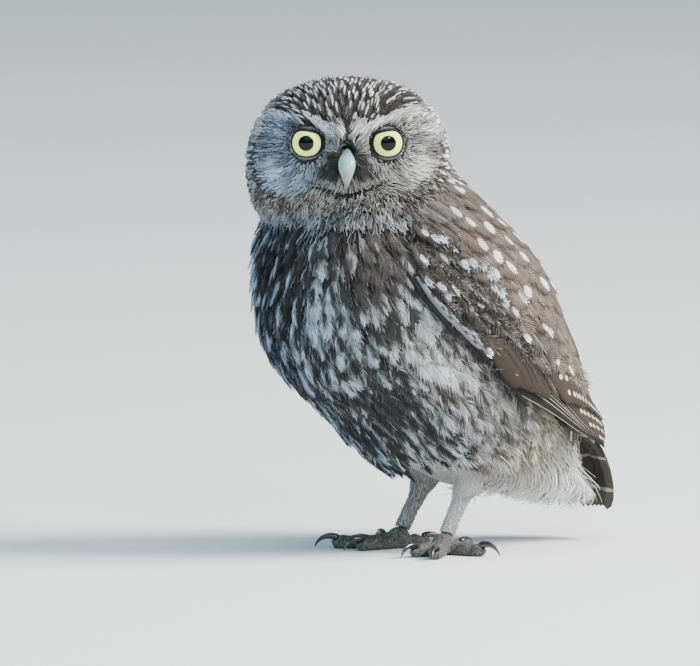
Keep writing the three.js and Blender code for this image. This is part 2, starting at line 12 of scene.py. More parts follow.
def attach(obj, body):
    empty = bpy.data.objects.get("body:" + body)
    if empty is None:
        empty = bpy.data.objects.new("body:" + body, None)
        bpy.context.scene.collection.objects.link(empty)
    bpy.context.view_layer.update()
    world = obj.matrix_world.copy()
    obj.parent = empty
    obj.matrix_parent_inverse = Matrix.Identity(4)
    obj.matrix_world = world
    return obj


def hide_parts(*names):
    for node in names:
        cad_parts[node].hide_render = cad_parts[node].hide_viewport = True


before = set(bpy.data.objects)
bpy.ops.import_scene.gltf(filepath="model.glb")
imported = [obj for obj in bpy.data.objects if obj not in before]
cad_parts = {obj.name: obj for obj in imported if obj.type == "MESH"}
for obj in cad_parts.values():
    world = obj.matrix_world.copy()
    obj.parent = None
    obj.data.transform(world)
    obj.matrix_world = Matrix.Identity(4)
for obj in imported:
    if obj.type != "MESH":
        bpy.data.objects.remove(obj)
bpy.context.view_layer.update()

# Lengths are in millimetres in the owl's own frame until a mesh is made.
MM = 0.001
DEG = math.pi / 180
chance = np.random.default_rng(11)

TRUNK_TOP = np.array([0.0, -45.0, 160.0])
TRUNK_LEAN = 51.3 * DEG
ALONG = np.array([0.0, math.cos(TRUNK_LEAN), -math.sin(TRUNK_LEAN)])
DORSAL = np.array([0.0, math.sin(TRUNK_LEAN), math.cos(TRUNK_LEAN)])
SIDE = np.array([1.0, 0.0, 0.0])
SECTION_POWER = 2.2
HEAD_CENTRE = np.array([0.0, -38.3, 158.8])
HEAD_TURN = 54 * DEG
EYE_PLACE = np.array([15.9, -20.8, 12.8])
EYE_RADIUS = 8.6
EYE_OUTWARD = 6 * DEG
BILL_ROOT = np.array([0.0, -31.0, 7.0])


def track(pairs):
    """A smooth curve through (place, size) pairs, as a function of the place."""
    at = np.array([pair[0] for pair in pairs], float)
    size = np.array([pair[1] for pair in pairs], float)
    step = np.diff(at)
    rise = np.diff(size) / step
    inner = (rise[:-1] * step[1:] + rise[1:] * step[:-1]) / (step[1:] + step[:-1])
    slope = np.concatenate([rise[:1], inner, rise[-1:]])

    def curve(place):
        x = np.clip(place, at[0], at[-1])
        i = np.clip(np.searchsorted(at, x, side="right") - 1, 0, len(step) - 1)
        s = (x - at[i]) / step[i]
        return (
            (1 + 2 * s) * (1 - s) ** 2 * size[i]
            + s * (1 - s) ** 2 * step[i] * slope[i]
            + s * s * (3 - 2 * s) * size[i + 1]
            + s * s * (s - 1) * step[i] * slope[i + 1]
        )

    return curve


MIDDLE = track([(-8, -4), (20, -10), (50, -14), (80, -12.5), (115, -11), (145, -2), (168, 9), (198, 14)])
WING_DEPTH = track([
    (0, 31), (20, 44), (40, 53), (60, 57.5), (80, 58.5),
    (100, 56), (120, 49), (145, 35), (170, 21), (198, 10),
])
WING_WIDTH = track([
    (0, 38), (20, 46.5), (40, 52.5), (60, 55.5), (80, 56),
    (100, 54), (120, 48), (145, 37), (170, 25), (198, 15),
])


def mix(a, b, share):
    return a + (b - a) * share


def smooth(low, high, value):
    share = np.clip((value - low) / (high - low), 0, 1)
    return share * share * (3 - 2 * share)


def bump(value, reach):
    return np.exp(-((value / reach) ** 2))


PATCHES = np.random.default_rng(5).random((97, 89))


def patchy(u, v, layer=0):
    """Smooth chance values over a plane, about one step across each."""
    i, j = np.floor(u).astype(int), np.floor(v).astype(int)
    s, t = smooth(0, 1, u - i), smooth(0, 1, v - j)
    i, j = i + 13 * layer, j + 29 * layer
    a, b, c, d = (PATCHES[(i + di) % 97, (j + dj) % 89] for di, dj in ((0, 0), (1, 0), (0, 1), (1, 1)))
    return mix(mix(a, b, s), mix(c, d, s), t)


def ranked(values):
    """The order of the values, spread evenly from 0 to 1."""
    order = np.empty(values.size)
    order[np.argsort(values.ravel())] = np.linspace(0, 1, values.size)
    return order.reshape(values.shape)


def unit(vectors):
    length = np.linalg.norm(vectors, axis=-1, keepdims=True)
    return vectors / np.maximum(length, 1e-9)


def along_surface(way, normals, share=1.0):
    """Ways laid down on a surface, or a share of that."""
    return unit(way - (way * normals).sum(1, keepdims=True) * normals * share)


def turned(points, angle):
    """Points turned about the upright axis."""
    c, s = math.cos(angle), math.sin(angle)
    x, y, z = points[..., 0], points[..., 1], points[..., 2]
    return np.stack([c * x - s * y, s * x + c * y, z], -1)


def to_head(points):
    return turned(points - HEAD_CENTRE, -HEAD_TURN)


def from_head(points):
    return turned(np.asarray(points, float), HEAD_TURN) + HEAD_CENTRE


def trunk_place(points):
    """Place along the trunk and angle in degrees from the left side towards the back."""
    off = points - TRUNK_TOP
    place = off @ ALONG
    deep = off @ DORSAL - MIDDLE(place)
    return place, np.degrees(np.arctan2(deep, off @ SIDE))


def trunk_turn(points):
    """Place along the trunk and degrees round it from the middle of the belly, more to the left."""
    place, angle = trunk_place(points)
    return place, (angle + 90 + 180) % 360 - 180


def trunk_point(place, deep, across):
    """The point at a place along the trunk, so far towards the back and across."""
    return TRUNK_TOP + place[..., None] * ALONG + deep[..., None] * DORSAL + across[..., None] * SIDE


def wing_point(place, angle, height):
    """A point over the folded wings: place along the trunk, angle, height over their surface."""
    c, s = np.cos(angle), np.sin(angle)
    across = (WING_WIDTH(place) + height) * np.sign(c) * np.abs(c) ** (2 / SECTION_POWER)
    deep = (WING_DEPTH(place) + height) * np.sign(s) * np.abs(s) ** (2 / SECTION_POWER)
    return trunk_point(place, MIDDLE(place) + deep, across)


def triples(items, key, kind=float):
    """Three numbers of each of a mesh's items, as rows."""
    values = np.zeros(len(items) * 3, kind)
    items.foreach_get(key, values)
    return values.reshape(-1, 3)


def node_points(node):
    return triples(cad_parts[node].data.vertices, "co") / MM


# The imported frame's origin lies under the middle of the owl's box.
eyes_middle = (node_points("eye_left").mean(0) + node_points("eye_right").mean(0)) / 2
SHIFT = eyes_middle - from_head(EYE_PLACE * [0, 1, 1])


def set_points(mesh, points):
    """Puts a mesh's points at places in the owl's frame."""
    mesh.vertices.foreach_set("co", ((points + SHIFT) * MM).astype(np.float32).ravel())


def linked(name, data):
    """An object for a mesh, lamp or camera, in the scene."""
    made = bpy.data.objects.new(name, data)
    bpy.context.scene.collection.objects.link(made)
    return made


def piece_from(name, points, faces, material):
    """A mesh object from points in the owl's frame and triangles."""
    mesh = bpy.data.meshes.new(name)
    mesh.vertices.add(len(points))
    set_points(mesh, points)
    mesh.loops.add(faces.size)
    mesh.loops.foreach_set("vertex_index", faces.astype(np.int32).ravel())
    mesh.polygons.add(len(faces))
    mesh.polygons.foreach_set("loop_start", np.arange(0, faces.size, 3, dtype=np.int32))
    mesh.update(calc_edges=True)
    mesh.shade_smooth()
    mesh.materials.append(material)
    return linked(name, mesh)


class Wire:
    """A socket of a material's nodes, with sums written as sums."""

    def __init__(self, paint, socket):
        self.paint = paint
        self.socket = socket

    def sum(self, operation, other=None, flip=False):
        first, second = (other, self) if flip else (self, other)
        values = {0: first} if other is None else {0: first, 1: second}
        return self.paint.node("ShaderNodeMath", {"operation": operation}, values)

    def __add__(self, other):
        return self.sum("ADD", other)

    def __sub__(self, other):
        return self.sum("SUBTRACT", other)

    def __mul__(self, other):
        return self.sum("MULTIPLY", other)

    def __truediv__(self, other):
        return self.sum("DIVIDE", other)

    def __rsub__(self, other):
        return self.sum("SUBTRACT", other, True)

    __radd__ = __add__
    __rmul__ = __mul__


class Paint:
    """A node material in the making."""

    def __init__(self, name, **constants):
        self.material = bpy.data.materials.new(name)
        self.material.use_nodes = True
        self.tree = self.material.node_tree
        self.tree.nodes.clear()
        self.shader = self.tree.nodes.new("ShaderNodeBsdfPrincipled")
        output = self.tree.nodes.new("ShaderNodeOutputMaterial")
        self.tree.links.new(self.shader.outputs[0], output.inputs[0])
        for socket, value in constants.items():
            self.shader.inputs[socket.replace("_", " ")].default_value = value

    def node(self, kind, settings=None, values=None, output=0):
        """Any node: its settings first, then the values or links of its sockets."""
        node = self.tree.nodes.new(kind)
        for key, value in (settings or {}).items():
            if key == "stops":
                ramp = node.color_ramp
                while len(ramp.elements) < len(value):
                    ramp.elements.new(0.5)
                for element, (place, colour) in zip(ramp.elements, value):
                    element.position = place
                    element.color = (*colour, 1)
            else:
                setattr(node, key, value)
        for key, value in (values or {}).items():
            if isinstance(value, Wire):
                self.tree.links.new(value.socket, node.inputs[key])
            elif isinstance(value, tuple) and len(value) == 3 and node.inputs[key].type == "RGBA":
                node.inputs[key].default_value = (*value, 1)
            else:
                node.inputs[key].default_value = value
        return Wire(self, node.outputs[output])

    def attribute(self, name, output="Color"):
        return self.node("ShaderNodeAttribute", {"attribute_name": name}, output=output)

    def parts(self, vector):
        """The three numbers in a vector."""
        node = self.tree.nodes.new("ShaderNodeSeparateXYZ")
        self.tree.links.new(vector.socket, node.inputs[0])
        return [Wire(self, node.outputs[i]) for i in range(3)]

    def vector(self, x=0.0, y=0.0, z=0.0):
        return self.node("ShaderNodeCombineXYZ", None, {0: x, 1: y, 2: z})

    def noise(self, where, scale, detail=2.0, roughness=0.5):
        values = {"Vector": where, "Scale": scale, "Detail": detail, "Roughness": roughness}
        return self.node("ShaderNodeTexNoise", None, values)

    def step(self, value, low, high):
        """0 below low, 1 above high, smooth between."""
        values = {"Value": value, "From Min": low, "From Max": high}
        return self.node("ShaderNodeMapRange", {"interpolation_type": "SMOOTHSTEP"}, values)

    def blend(self, share, first, second):
        """Two colours in one."""
        return self.node("ShaderNodeMix", {"data_type": "RGBA"}, {0: share, 6: first, 7: second}, 2)

    def ramp(self, share, *stops):
        """A colour by a number, from stops of (number, colour)."""
        return self.node("ShaderNodeValToRGB", {"stops": stops}, {"Fac": share})

    def lit(self, colour, amount):
        """A colour made lighter or darker by a number."""
        return self.node("ShaderNodeVectorMath", {"operation": "SCALE"}, {0: colour, "Scale": amount})

    def place(self):
        return self.node("ShaderNodeTexCoord", output="Object")

    def finish(self, colour, roughness=None, height=None, strength=0.3, distance=0.0003):
        shader = self.shader
        self.tree.links.new(colour.socket, shader.inputs["Base Color"])
        if roughness is not None:
            self.tree.links.new(roughness.socket, shader.inputs["Roughness"])
        if height is not None:
            values = {"Height": height, "Strength": strength, "Distance": distance}
            normal = self.node("ShaderNodeBump", None, values)
            self.tree.links.new(normal.socket, shader.inputs["Normal"])
        return self.material


def feather_paint(name, barbs, roughness=0.85, sheen=0.1):
    """A feather: ground colour, one mark or a row of them, and fine barbs.

    Each vertex carries ground and mark colours, trait (seed, mark's half width and half length)
    and spot (mark's place across and along, and marks in a feather's length, 0 for one alone).
    """
    paint = Paint(name, Roughness=roughness, Specular_IOR_Level=0.25, Sheen_Weight=sheen)
    vane = paint.node("ShaderNodeUVMap", {"uv_map": "vane"})
    across, along, _ = paint.parts(vane)
    seed, half_wide, half_long = paint.parts(paint.attribute("trait", "Vector"))
    spot_across, spot_along, row = paint.parts(paint.attribute("spot", "Vector"))
    slant = along - across.sum("ABSOLUTE") * 0.22
    barb = paint.noise(paint.vector(across * 1.6 + seed, slant * barbs, seed), 1.0, 2.0, 0.6)
    cloud = paint.noise(paint.vector(across + seed, along * 2.0, seed), 1.3, 1.0)
    fray = (barb - 0.5) * 0.42
    single = along - spot_along
    repeated = (single * row).sum("FRACT") - 0.5
    many = row.sum("GREATER_THAN", 0.5)
    run = single * (1 - many) + repeated * many
    reach_across = (across - spot_across) / half_wide
    reach_along = run / half_long
    reach = (reach_across * reach_across + reach_along * reach_along).sum("SQRT") + fray
    inside = 1 - paint.step(reach, 0.72, 1.12)
    ground = paint.attribute("ground")
    marked = paint.blend(inside, ground, paint.attribute("mark"))
    shaft = 1 - paint.step(across.sum("ABSOLUTE"), 0.02, 0.07)
    light = 0.62 + barb * 0.5 + cloud * 0.28 - shaft * 0.12
    height = barb + shaft * 0.5
    return paint.finish(paint.lit(marked, light), None, height, 0.45, 0.00025)


class Surface:
    """A shape that feathers grow on."""

    def __init__(self, points, faces):
        self.points = points
        self.faces = faces
        corners = points[faces]
        cross = np.cross(corners[:, 1] - corners[:, 0], corners[:, 2] - corners[:, 0])
        self.area = np.linalg.norm(cross, axis=1) / 2
        at_points = np.zeros_like(points)
        for corner in range(3):
            np.add.at(at_points, faces[:, corner], cross)
        self.normal = unit(unit(at_points)[faces].mean(1))
        self.tree = BVHTree.FromPolygons(points.tolist(), faces.tolist())

    def settle(self, points):
        """The nearest places on the shape, and the way out there."""
        places = np.empty_like(points)
        normals = np.empty_like(points)
        nearest = self.tree.find_nearest
        for i, point in enumerate(points):
            place, _, face, _ = nearest(Vector(point))
            places[i] = place
            normals[i] = self.normal[face]
        return places, normals

    def scatter(self, spacing, crowd=5.0):
        """Places about as far apart as spacing says there. None grow where it says 0."""
        centres = self.points[self.faces].mean(1)
        gap = spacing(centres, self.normal)
        weight = np.where(gap > 0, self.area / np.maximum(gap, 0.3) ** 2, 0)
        count = int(weight.sum() * crowd)
        face = chance.choice(len(weight), count, p=weight / weight.sum())
        share = np.sqrt(chance.random(count))[:, None]
        other = chance.random(count)[:, None]
        a, b, c = (self.points[self.faces[face, corner]] for corner in range(3))
        places = (1 - share) * a + share * (1 - other) * b + share * other * c
        gaps = gap[face]
        cell = float(gaps.max())
        keys = np.floor(places / cell).astype(int)
        taken = {}
        kept = []
        around = [(i, j, k) for i in (-1, 0, 1) for j in (-1, 0, 1) for k in (-1, 0, 1)]
        listed = places.tolist()
        for i in range(count):
            x, y, z = listed[i]
            kx, ky, kz = keys[i]
            limit = gaps[i] ** 2
            free = True
            for dx, dy, dz in around:
                for px, py, pz in taken.get((kx + dx, ky + dy, kz + dz), ()):
                    if (x - px) ** 2 + (y - py) ** 2 + (z - pz) ** 2 < limit:
                        free = False
                        break
                if not free:
                    break
            if free:
                taken.setdefault((kx, ky, kz), []).append((x, y, z))
                kept.append(i)
        return places[kept], self.normal[face[kept]]


def give(mesh, name, values):
    """A colour, vector or number for each point of a mesh."""
    kinds = {4: ("FLOAT_COLOR", "color"), 3: ("FLOAT_VECTOR", "vector"), 1: ("FLOAT", "value")}
    kind, field = kinds[values.shape[-1]]
    mesh.attributes.new(name, kind, "POINT").data.foreach_set(field, values.astype(np.float32).ravel())


def give_charts(mesh, corners, **charts):
    """UV maps from a place for each point."""
    for name, places in charts.items():
        places = places.reshape(-1, 2)[corners.ravel()]
        mesh.uv_layers.new(name=name).data.foreach_set("uv", places.astype(np.float32).ravel())


def leaf(stations, rise):
    """A thin three-sided blade: (across, along, start, lift, out, strand) of each point, and triangles."""
    points = []
    for along, wide in stations:
        section = ((0.0, rise), (-wide, 0), (wide, 0))
        points += [(across, along, along, lift, 0, 0) for across, lift in section]
    faces = [(0, 1, 2)]
    for i in range(len(stations) - 1):
        a, b = 3 * i, 3 * i + 3
        for j in range(3):
            k = (j + 1) % 3
            faces += [(a + j, b + j, b + k), (a + j, b + k, a + k)]
    last = 3 * (len(stations) - 1)
    end = len(points)
    tip = stations[-1][0] + 0.04
    points.append((0.0, tip, tip, 0, 0, 0))
    faces += [(last + j, end, last + (j + 1) % 3) for j in range(3)]
    return points, faces


def vane_edge(along, blunt):
    """Half width of a feather's outline, from 0 at the root to 1 where it is widest."""
    rise = min(1.0, 0.3 + 1.6 * along)
    tip = max(0.0, (along - blunt) / (1.001 - blunt))
    return rise * math.sqrt(max(0.0, 1 - tip**2.2))


def plume(strands, blunt=0.5, sweep=0.3, half=4.5, length=16.0, thick=0.3, first=0.12):
    """A feather as its barbs: a thin leaf with strands on both sides, each a tapering lock."""
    points, faces = leaf([(0, 0.2), (0.3, 0.5), (0.62, 0.66), (0.88, 0.4)], 0.1)
    for side in (-1, 1):
        for number in range(strands):
            share = (number + 0.5) / strands
            start = first + (0.93 - first) * share
            end = min(start + sweep * (1.25 - 0.6 * share), 0.86 + 0.16 * share)
            wide = side * max(vane_edge(end, blunt), 0.22 * (1 - share))
            stops = [(0.02 * side, start), (0.62 * wide, mix(start, end, 0.42)), (wide, end)]
            strand = 1 + number + (strands if side > 0 else 0)
            base = len(points)
            for stop in range(2):
                (a0, l0), (a1, l1) = stops[stop], stops[stop + 1]
                run = np.array([(a1 - a0) * half, (l1 - l0) * length])
                run = run / np.hypot(*run)
                aside = np.array([-run[1] / half, run[0] / length]) * thick * (1.0, 0.8)[stop]
                here = np.array(stops[stop])
                out = (0.0, 0.45)[stop]
                for way, lift in ((0, 0.16), (-1, 0.0), (1, 0.0)):
                    across, along = here + aside * way
                    points.append((across, along, start, lift + 0.05, out, strand))
            points.append((wide, end, start, 0.05, 1.0, strand))
            faces.append((base, base + 1, base + 2))
            for j in range(3):
                k = (j + 1) % 3
                faces += [(base + j, base + 3 + j, base + 3 + k), (base + j, base + 3 + k, base + k)]
                faces.append((base + 3 + j, base + 6, base + 3 + k))
    return points, faces


def facing_out(shape):
    """The same shape with its triangles turned to face out."""
    points, faces = np.array(shape[0], float), np.array(shape[1])
    solid = np.stack([points[:, 0] * 4, points[:, 1] * 16, points[:, 3]], 1)
    a, b, c = (solid[faces[:, corner]] for corner in range(3))
    volume = np.einsum("ij,ij->i", a, np.cross(b, c)).sum()
    return (points, faces) if volume < 0 else (points, faces[:, ::-1])


BODY_PLUME = facing_out(plume(24, 0.5, 0.42, thick=0.26))
HEAD_PLUME = facing_out(plume(8, 0.45, 0.3, 2.0, 7.0, 0.24, 0.2))
COVERT_PLUME = facing_out(plume(22, 0.6, 0.2, 5.0, 17.0, 0.36))
LOCK = facing_out(leaf([(0, 0.7), (0.4, 1), (0.75, 0.7)], 0.35))
BARB = facing_out(leaf([(0, 1), (0.55, 0.75)], 0.3))
MOST_FACES = 190000
PER_FEATHER = ("ground", "mark", "trait", "spot")
# How much of the unwrap one feather covers.
FEATHER_CHART = 0.0015


def grow(name, surface, lie, roots, look, shape, material, chart, steps, shade):
    """Feathers of one shape on a surface, as one or more joined meshes.

    look gives each feather's length, width, rise (how far its tip stands off), sunk (how deep it
    starts), puff, camber, ragged, sway, roll, streaky, ground, mark, trait and spot. shade, if
    given, tells the ground colour from places across and along each feather, in millimetres.
    """
    places, normals = roots
    count = len(places)
    length = look["length"]
    path = np.empty((count, steps, 3))
    out = np.empty((count, steps, 3))
    way = np.empty((count, steps, 3))
    path[:, 0], out[:, 0] = places, normals
    heading = lie(places, normals)
    heading = unit(heading + chance.normal(0, 1, (count, 3)) * look["astray"][:, None])
    for i in range(steps):
        heading = along_surface(heading, out[:, i])
        way[:, i] = heading
        if i < steps - 1:
            ahead = path[:, i] + heading * (length / (steps - 1))[:, None]
            path[:, i + 1], out[:, i + 1] = surface.settle(ahead)
            there = lie(path[:, i + 1], out[:, i + 1])
            heading = unit(mix(heading, there, 0.5))
    points, faces = shape
    across, along, start, lift, far, strand = points.T
    strand = strand.astype(int)
    strands = int(strand.max()) + 1
    ragged = look["ragged"][:, None]
    wild = chance.normal(0, 1, (3, count, strands))
    wild[:, :, 0] = 0
    wild_reach, wild_side, wild_rise = (one[:, strand] * far * ragged for one in wild)
    half = (look["width"] / 2)[:, None]
    reach = (across * (1 + 0.1 * wild_reach) + 0.13 * wild_side) * half
    at = start + (along - start) * (1 + 0.16 * wild_reach) + 0.02 * wild_side
    spot = np.clip(at, 0, 1) * (steps - 1)
    low = np.minimum(spot.astype(int), steps - 2)
    part = (spot - low)[..., None]
    row = np.arange(count)[:, None]
    centre = mix(path[row, low], path[row, low + 1], part)
    normal = unit(mix(out[row, low], out[row, low + 1], part))
    forward = unit(mix(way[row, low], way[row, low + 1], part))
    aside = np.cross(forward, normal)
    over = np.maximum(at - 1, 0) * length[:, None]
    sway = look["sway"][:, None] * at**2 * length[:, None]
    size = np.minimum(half / 4.5, 1)
    height = (
        -look["sunk"][:, None]
        + (look["rise"] + look["sunk"])[:, None] * np.clip(at, 0, 1.1) ** 0.8
        + look["puff"][:, None] * np.sin(np.pi * np.clip(at, 0, 1) ** 0.9)
        - look["camber"][:, None] * (reach / half) ** 2
        + look["roll"][:, None] * reach
        + lift * np.maximum(size, 0.35)
        + wild_rise * 0.3 * size
    )
    made = centre + aside * (reach + sway)[..., None] + normal * height[..., None] + forward * over[..., None]
    vane = np.broadcast_to(np.stack([across, along], 1), (count, len(along), 2))
    patch = chart(places)[:, None] + (vane - [0, 0.5]) * FEATHER_CHART
    tone = 1 + chance.normal(0, 1, (count, strands))[:, strand] * look["streaky"][:, None]
    tone = np.clip(tone, 0.35, 1.8)[..., None]
    pieces = []
    per = MOST_FACES // len(faces)
    for part_number, first in enumerate(range(0, count, per)):
        some = slice(first, min(first + per, count))
        number = some.stop - some.start
        offsets = np.arange(number)[:, None, None] * len(points)
        corners = (faces[None] + offsets).reshape(-1, 3)
        piece = piece_from(f"{name}_{part_number + 1}", made[some].reshape(-1, 3), corners, material)
        mesh = piece.data
        give_charts(mesh, corners, vane=vane[some], OFBake=patch[some])
        for key in PER_FEATHER:
            values = np.repeat(look[key][some][:, None], len(points), 1)
            if key == "ground" and shade is not None:
                values = shade(reach, at * length[:, None])[some]
            if key in ("ground", "mark"):
                values = np.concatenate([values * tone[some], np.ones((number, len(points), 1))], 2)
            give(mesh, key, values)
        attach(piece, "root")
        pieces.append(piece)
    return pieces


def look_of(count, **given):
    """A full set of a feather's numbers, with plain ones for those not given."""
    plain = dict(
        length=10.0, width=6.0, rise=2.0, sunk=0.6, puff=0.0, camber=0.35, ragged=0.8, sway=0.0,
        roll=0.0, astray=0.08, streaky=0.12, ground=(0.3, 0.3, 0.3), mark=(0.05, 0.04, 0.03),
        trait=(0.0, 0.3, 0.5), spot=(0.0, 0.6, 0.0),
    )
    look = {}
    for key, value in {**plain, **given}.items():
        value = np.asarray(value, float)
        shape = (count, 3) if key in PER_FEATHER else (count,)
        look[key] = np.broadcast_to(value, shape).copy()
    look["trait"][:, 0] = chance.uniform(0, 60, count)
    return look


def vary(count, low, high):
    return chance.uniform(low, high, count)


def tint(shares, colours):
    """Colours mixed in turn: each share moves the result towards its colour."""
    result = np.broadcast_to(np.asarray(colours[0], float), (len(shares[0]), 3)).copy()
    for share, colour in zip(shares, colours[1:]):
        result = mix(result, np.asarray(colour, float), share[:, None])
    return result


# Skin

def joined_copy(name, nodes, swell=0.0004):
    """One mesh of copies of CAD nodes, swelled a little so that their gaps close."""
    shape = bmesh.new()
    for node in nodes:
        shape.from_mesh(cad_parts[node].data)
    bmesh.ops.remove_doubles(shape, verts=shape.verts, dist=1e-6)
    shape.normal_update()
    for vert in shape.verts:
        vert.co += vert.normal * swell
    mesh = bpy.data.meshes.new(name)
    shape.to_mesh(mesh)
    shape.free()
    return linked(name, mesh)


def only(piece):
    """Selects one piece and nothing else."""
    bpy.ops.object.select_all(action="DESELECT")
    piece.select_set(True)
    bpy.context.view_layer.objects.active = piece


def remeshed(piece, voxel, passes):
    """An even, smoothed mesh of a piece, from modifiers that are applied."""
    only(piece)
    grid = piece.modifiers.new("even", "REMESH")
    grid.mode = "VOXEL"
    grid.voxel_size = voxel
    soft = piece.modifiers.new("soft", "SMOOTH")
    soft.factor = 0.5
    soft.iterations = passes
    for modifier in ("even", "soft"):
        bpy.ops.object.modifier_apply(modifier=modifier)
    for polygon in piece.data.polygons:
        polygon.use_smooth = True
    return piece


def coat_depth(points):
    """How far the skin lies under the outer face of the coat."""
    q = to_head(points)
    place, _ = trunk_place(points)
    head = smooth(-24, -8, q[:, 2]) * smooth(60, 50, np.linalg.norm(q, axis=1))
    face = head * smooth(-8, -16, q[:, 1])
    leg = smooth(30, 24, points[:, 2])
    depth = mix(3.0, 4.2, smooth(70, 130, place))
    depth = mix(depth, 2.0, head)
    depth = mix(depth, 1.3, face)
    return mix(depth, 0.9, leg)


FLESH = ["head", "neck", "torso", "thigh_left", "thigh_right", "tarsus_left", "tarsus_right"]
skin = remeshed(joined_copy("skin", FLESH), 0.0013, 4)
skin_mesh = skin.data
skin_points = triples(skin_mesh.vertices, "co") / MM - SHIFT
skin_points = skin_points - triples(skin_mesh.vertex_normals, "vector") * coat_depth(skin_points)[:, None]
set_points(skin_mesh, skin_points)
skin_mesh.update()
skin_mesh.calc_loop_triangles()
body = Surface(skin_points, triples(skin_mesh.loop_triangles, "vertices", np.int32))


def down_and_gap_shade_paint():
    """Down and skin, seen only between the feathers: dark down on the body, made near black as painted shade
    in the gaps; pale on the legs.
    """
    paint = Paint("down", Roughness=0.95, Specular_IOR_Level=0.1)
    where = paint.place()
    grain = paint.noise(where, 900.0, 3.0)
    # Near-black down on the body: darker than down, as painted shade between the feathers.
    dark = paint.ramp(grain, (0.3, (0.010, 0.009, 0.009)), (0.7, (0.036, 0.031, 0.029)))
    pale = paint.ramp(grain, (0.3, (0.28, 0.275, 0.27)), (0.7, (0.42, 0.41, 0.4)))
    low = 1 - paint.step(paint.parts(where)[2], 0.038, 0.05)
    return paint.finish(paint.blend(low, dark, pale), None, grain, 0.6, 0.0006)


skin_mesh.materials.append(down_and_gap_shade_paint())
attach(skin, "root")
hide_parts(*FLESH)


def brow_line(x):
    """Height of the brow's middle, at a place across the face. The left brow is raised."""
    return np.interp(np.abs(x), [0, 5.5, 12, 19, 30], [17.0, 18.0, 20.6, 23.8, 25.0]) + 3.4 * smooth(7, 28, x)


def crown_edge(x):
    """Height of the dark cap's lower edge."""
    return 19.0 + 0.2 * np.abs(x) + 0.005 * x**2 + 3.0 * smooth(6, 20, x)


def smile_line(x):
    """Height of the crease under the chin, which rises towards the cheeks."""
    return -8.9 + 0.42 * (np.sqrt(x**2 + 16) - 4)


def jaw_line(x):
    """Lower edge of the face: the crease in the middle, the cheeks' lower rim beside it."""
    far = np.abs(x)
    cheek = np.where(x > 0, -6.5 + 5.5 * smooth(20, 36, far), -8.0 + 3.0 * smooth(28, 38, far))
    return mix(smile_line(far), cheek, smooth(11, 18, far))


def coat_lie(points, normals):
    """The way the coat lies: round the eyes, from the bill over the head, down trunk and legs."""
    q = to_head(points)
    side = np.where(q[:, 0] > 0, 1.0, -1.0)
    x = np.abs(q[:, 0])
    away = unit(q - BILL_ROOT)
    back = smooth(-2, 22, q[:, 1])[:, None]
    away = away * (1 - 0.55 * back) + np.array([0, 0.1, -1.0]) * back * 0.9
    off = q - EYE_PLACE * np.stack([side, np.ones_like(side), np.ones_like(side)], 1)
    off[:, 1] *= 0.2
    near = 1 - smooth(10, 18, np.linalg.norm(off[:, [0, 2]], axis=1))
    near = near * smooth(0, -10, q[:, 1]) * mix(1.0, 0.35, smooth(-4, -10, off[:, 0] * side))
    away = unit(mix(away, unit(off), near[:, None] * 0.85))
    flat = smooth(13, 20, x)
    along_brow = unit(np.stack([side, mix(0.2, 0.5, flat), mix(0.75, 0.12, flat)], 1))
    brow = bump(q[:, 2] - brow_line(q[:, 0]) + 0.5, 3.6) * smooth(34, 28, x) * smooth(0, -8, q[:, 1])
    away = unit(mix(away, along_brow, (brow * 0.9)[:, None]))
    below = smooth(2, -4, q[:, 2] - jaw_line(q[:, 0])) * smooth(0, -10, q[:, 1])
    away = unit(mix(away, unit(np.stack([side * x * 0.02, 0 * x, -np.ones_like(x)], 1)), below[:, None]))
    head = turned(away, HEAD_TURN)
    on_head = smooth(-27, -15, q[:, 2])[:, None] * smooth(58, 50, np.linalg.norm(q, axis=1))[:, None]
    down = np.array([0.0, -0.25, -1.0])
    on_leg = smooth(40, 28, points[:, 2])[:, None]
    place, angle = trunk_place(points)
    hang = smooth(75, 5, place) * smooth(120, 60, np.abs(angle + 90))
    trunk = ALONG + np.array([0, 0, -1.0]) * hang[:, None]
    lie = mix(mix(unit(trunk), head, on_head), down, on_leg)
    return along_surface(lie, normals)


def skin_chart(points):
    """A place on an unwrap of the skin: trunk below, head above, legs at the bottom."""
    q = to_head(points)
    place, angle = trunk_place(points)
    head = q[:, 2] > -22
    u_head = 0.5 + np.arctan2(q[:, 0], -q[:, 1]) / (2 * math.pi) * 0.96
    v_head = 0.6 + 0.38 * np.clip((q[:, 2] + 22) / 60, 0, 1)
    u = np.where(head, u_head, 0.5 + angle / 360 * 0.96)
    v = np.where(head, v_head, 0.06 + 0.5 * np.clip(place / 175, 0, 1))
    leg = points[:, 2] < 30
    v = np.where(leg, 0.05 * np.clip(points[:, 2] / 30, 0, 1), v)
    return np.stack([u, v], 1)


# Wing edges as angles in degrees along the trunk, as on the solids.
WING_LOWER = track([(16, 12), (26, 0), (44, -8), (70, -7), (92, -4), (120, 6), (140, 9)])
WING_UPPER = track([(16, 50), (30, 70), (60, 82), (100, 84), (140, 82)])


def wing_place(points):
    """Place along the trunk and angle, the same for both wings."""
    return trunk_place(np.stack([np.abs(points[:, 0]), points[:, 1], points[:, 2]], 1))


def under_wing(points, margin):
    """True where a folded wing covers the trunk."""
    place, angle = wing_place(points)
    inside = (angle > WING_LOWER(place) + margin) & (angle < WING_UPPER(place) - margin)
    return inside & (place > 22 + margin * 0.4) & (place < 140)


def near_eye(q):
    """Distance from the nearer eye, seen from the front."""
    return np.hypot(np.abs(q[:, 0]) - EYE_PLACE[0] - 0.9, q[:, 2] - EYE_PLACE[2])


def head_share(points):
    q = to_head(points)
    return smooth(-24, -16, q[:, 2]) * smooth(58, 50, np.linalg.norm(q, axis=1))


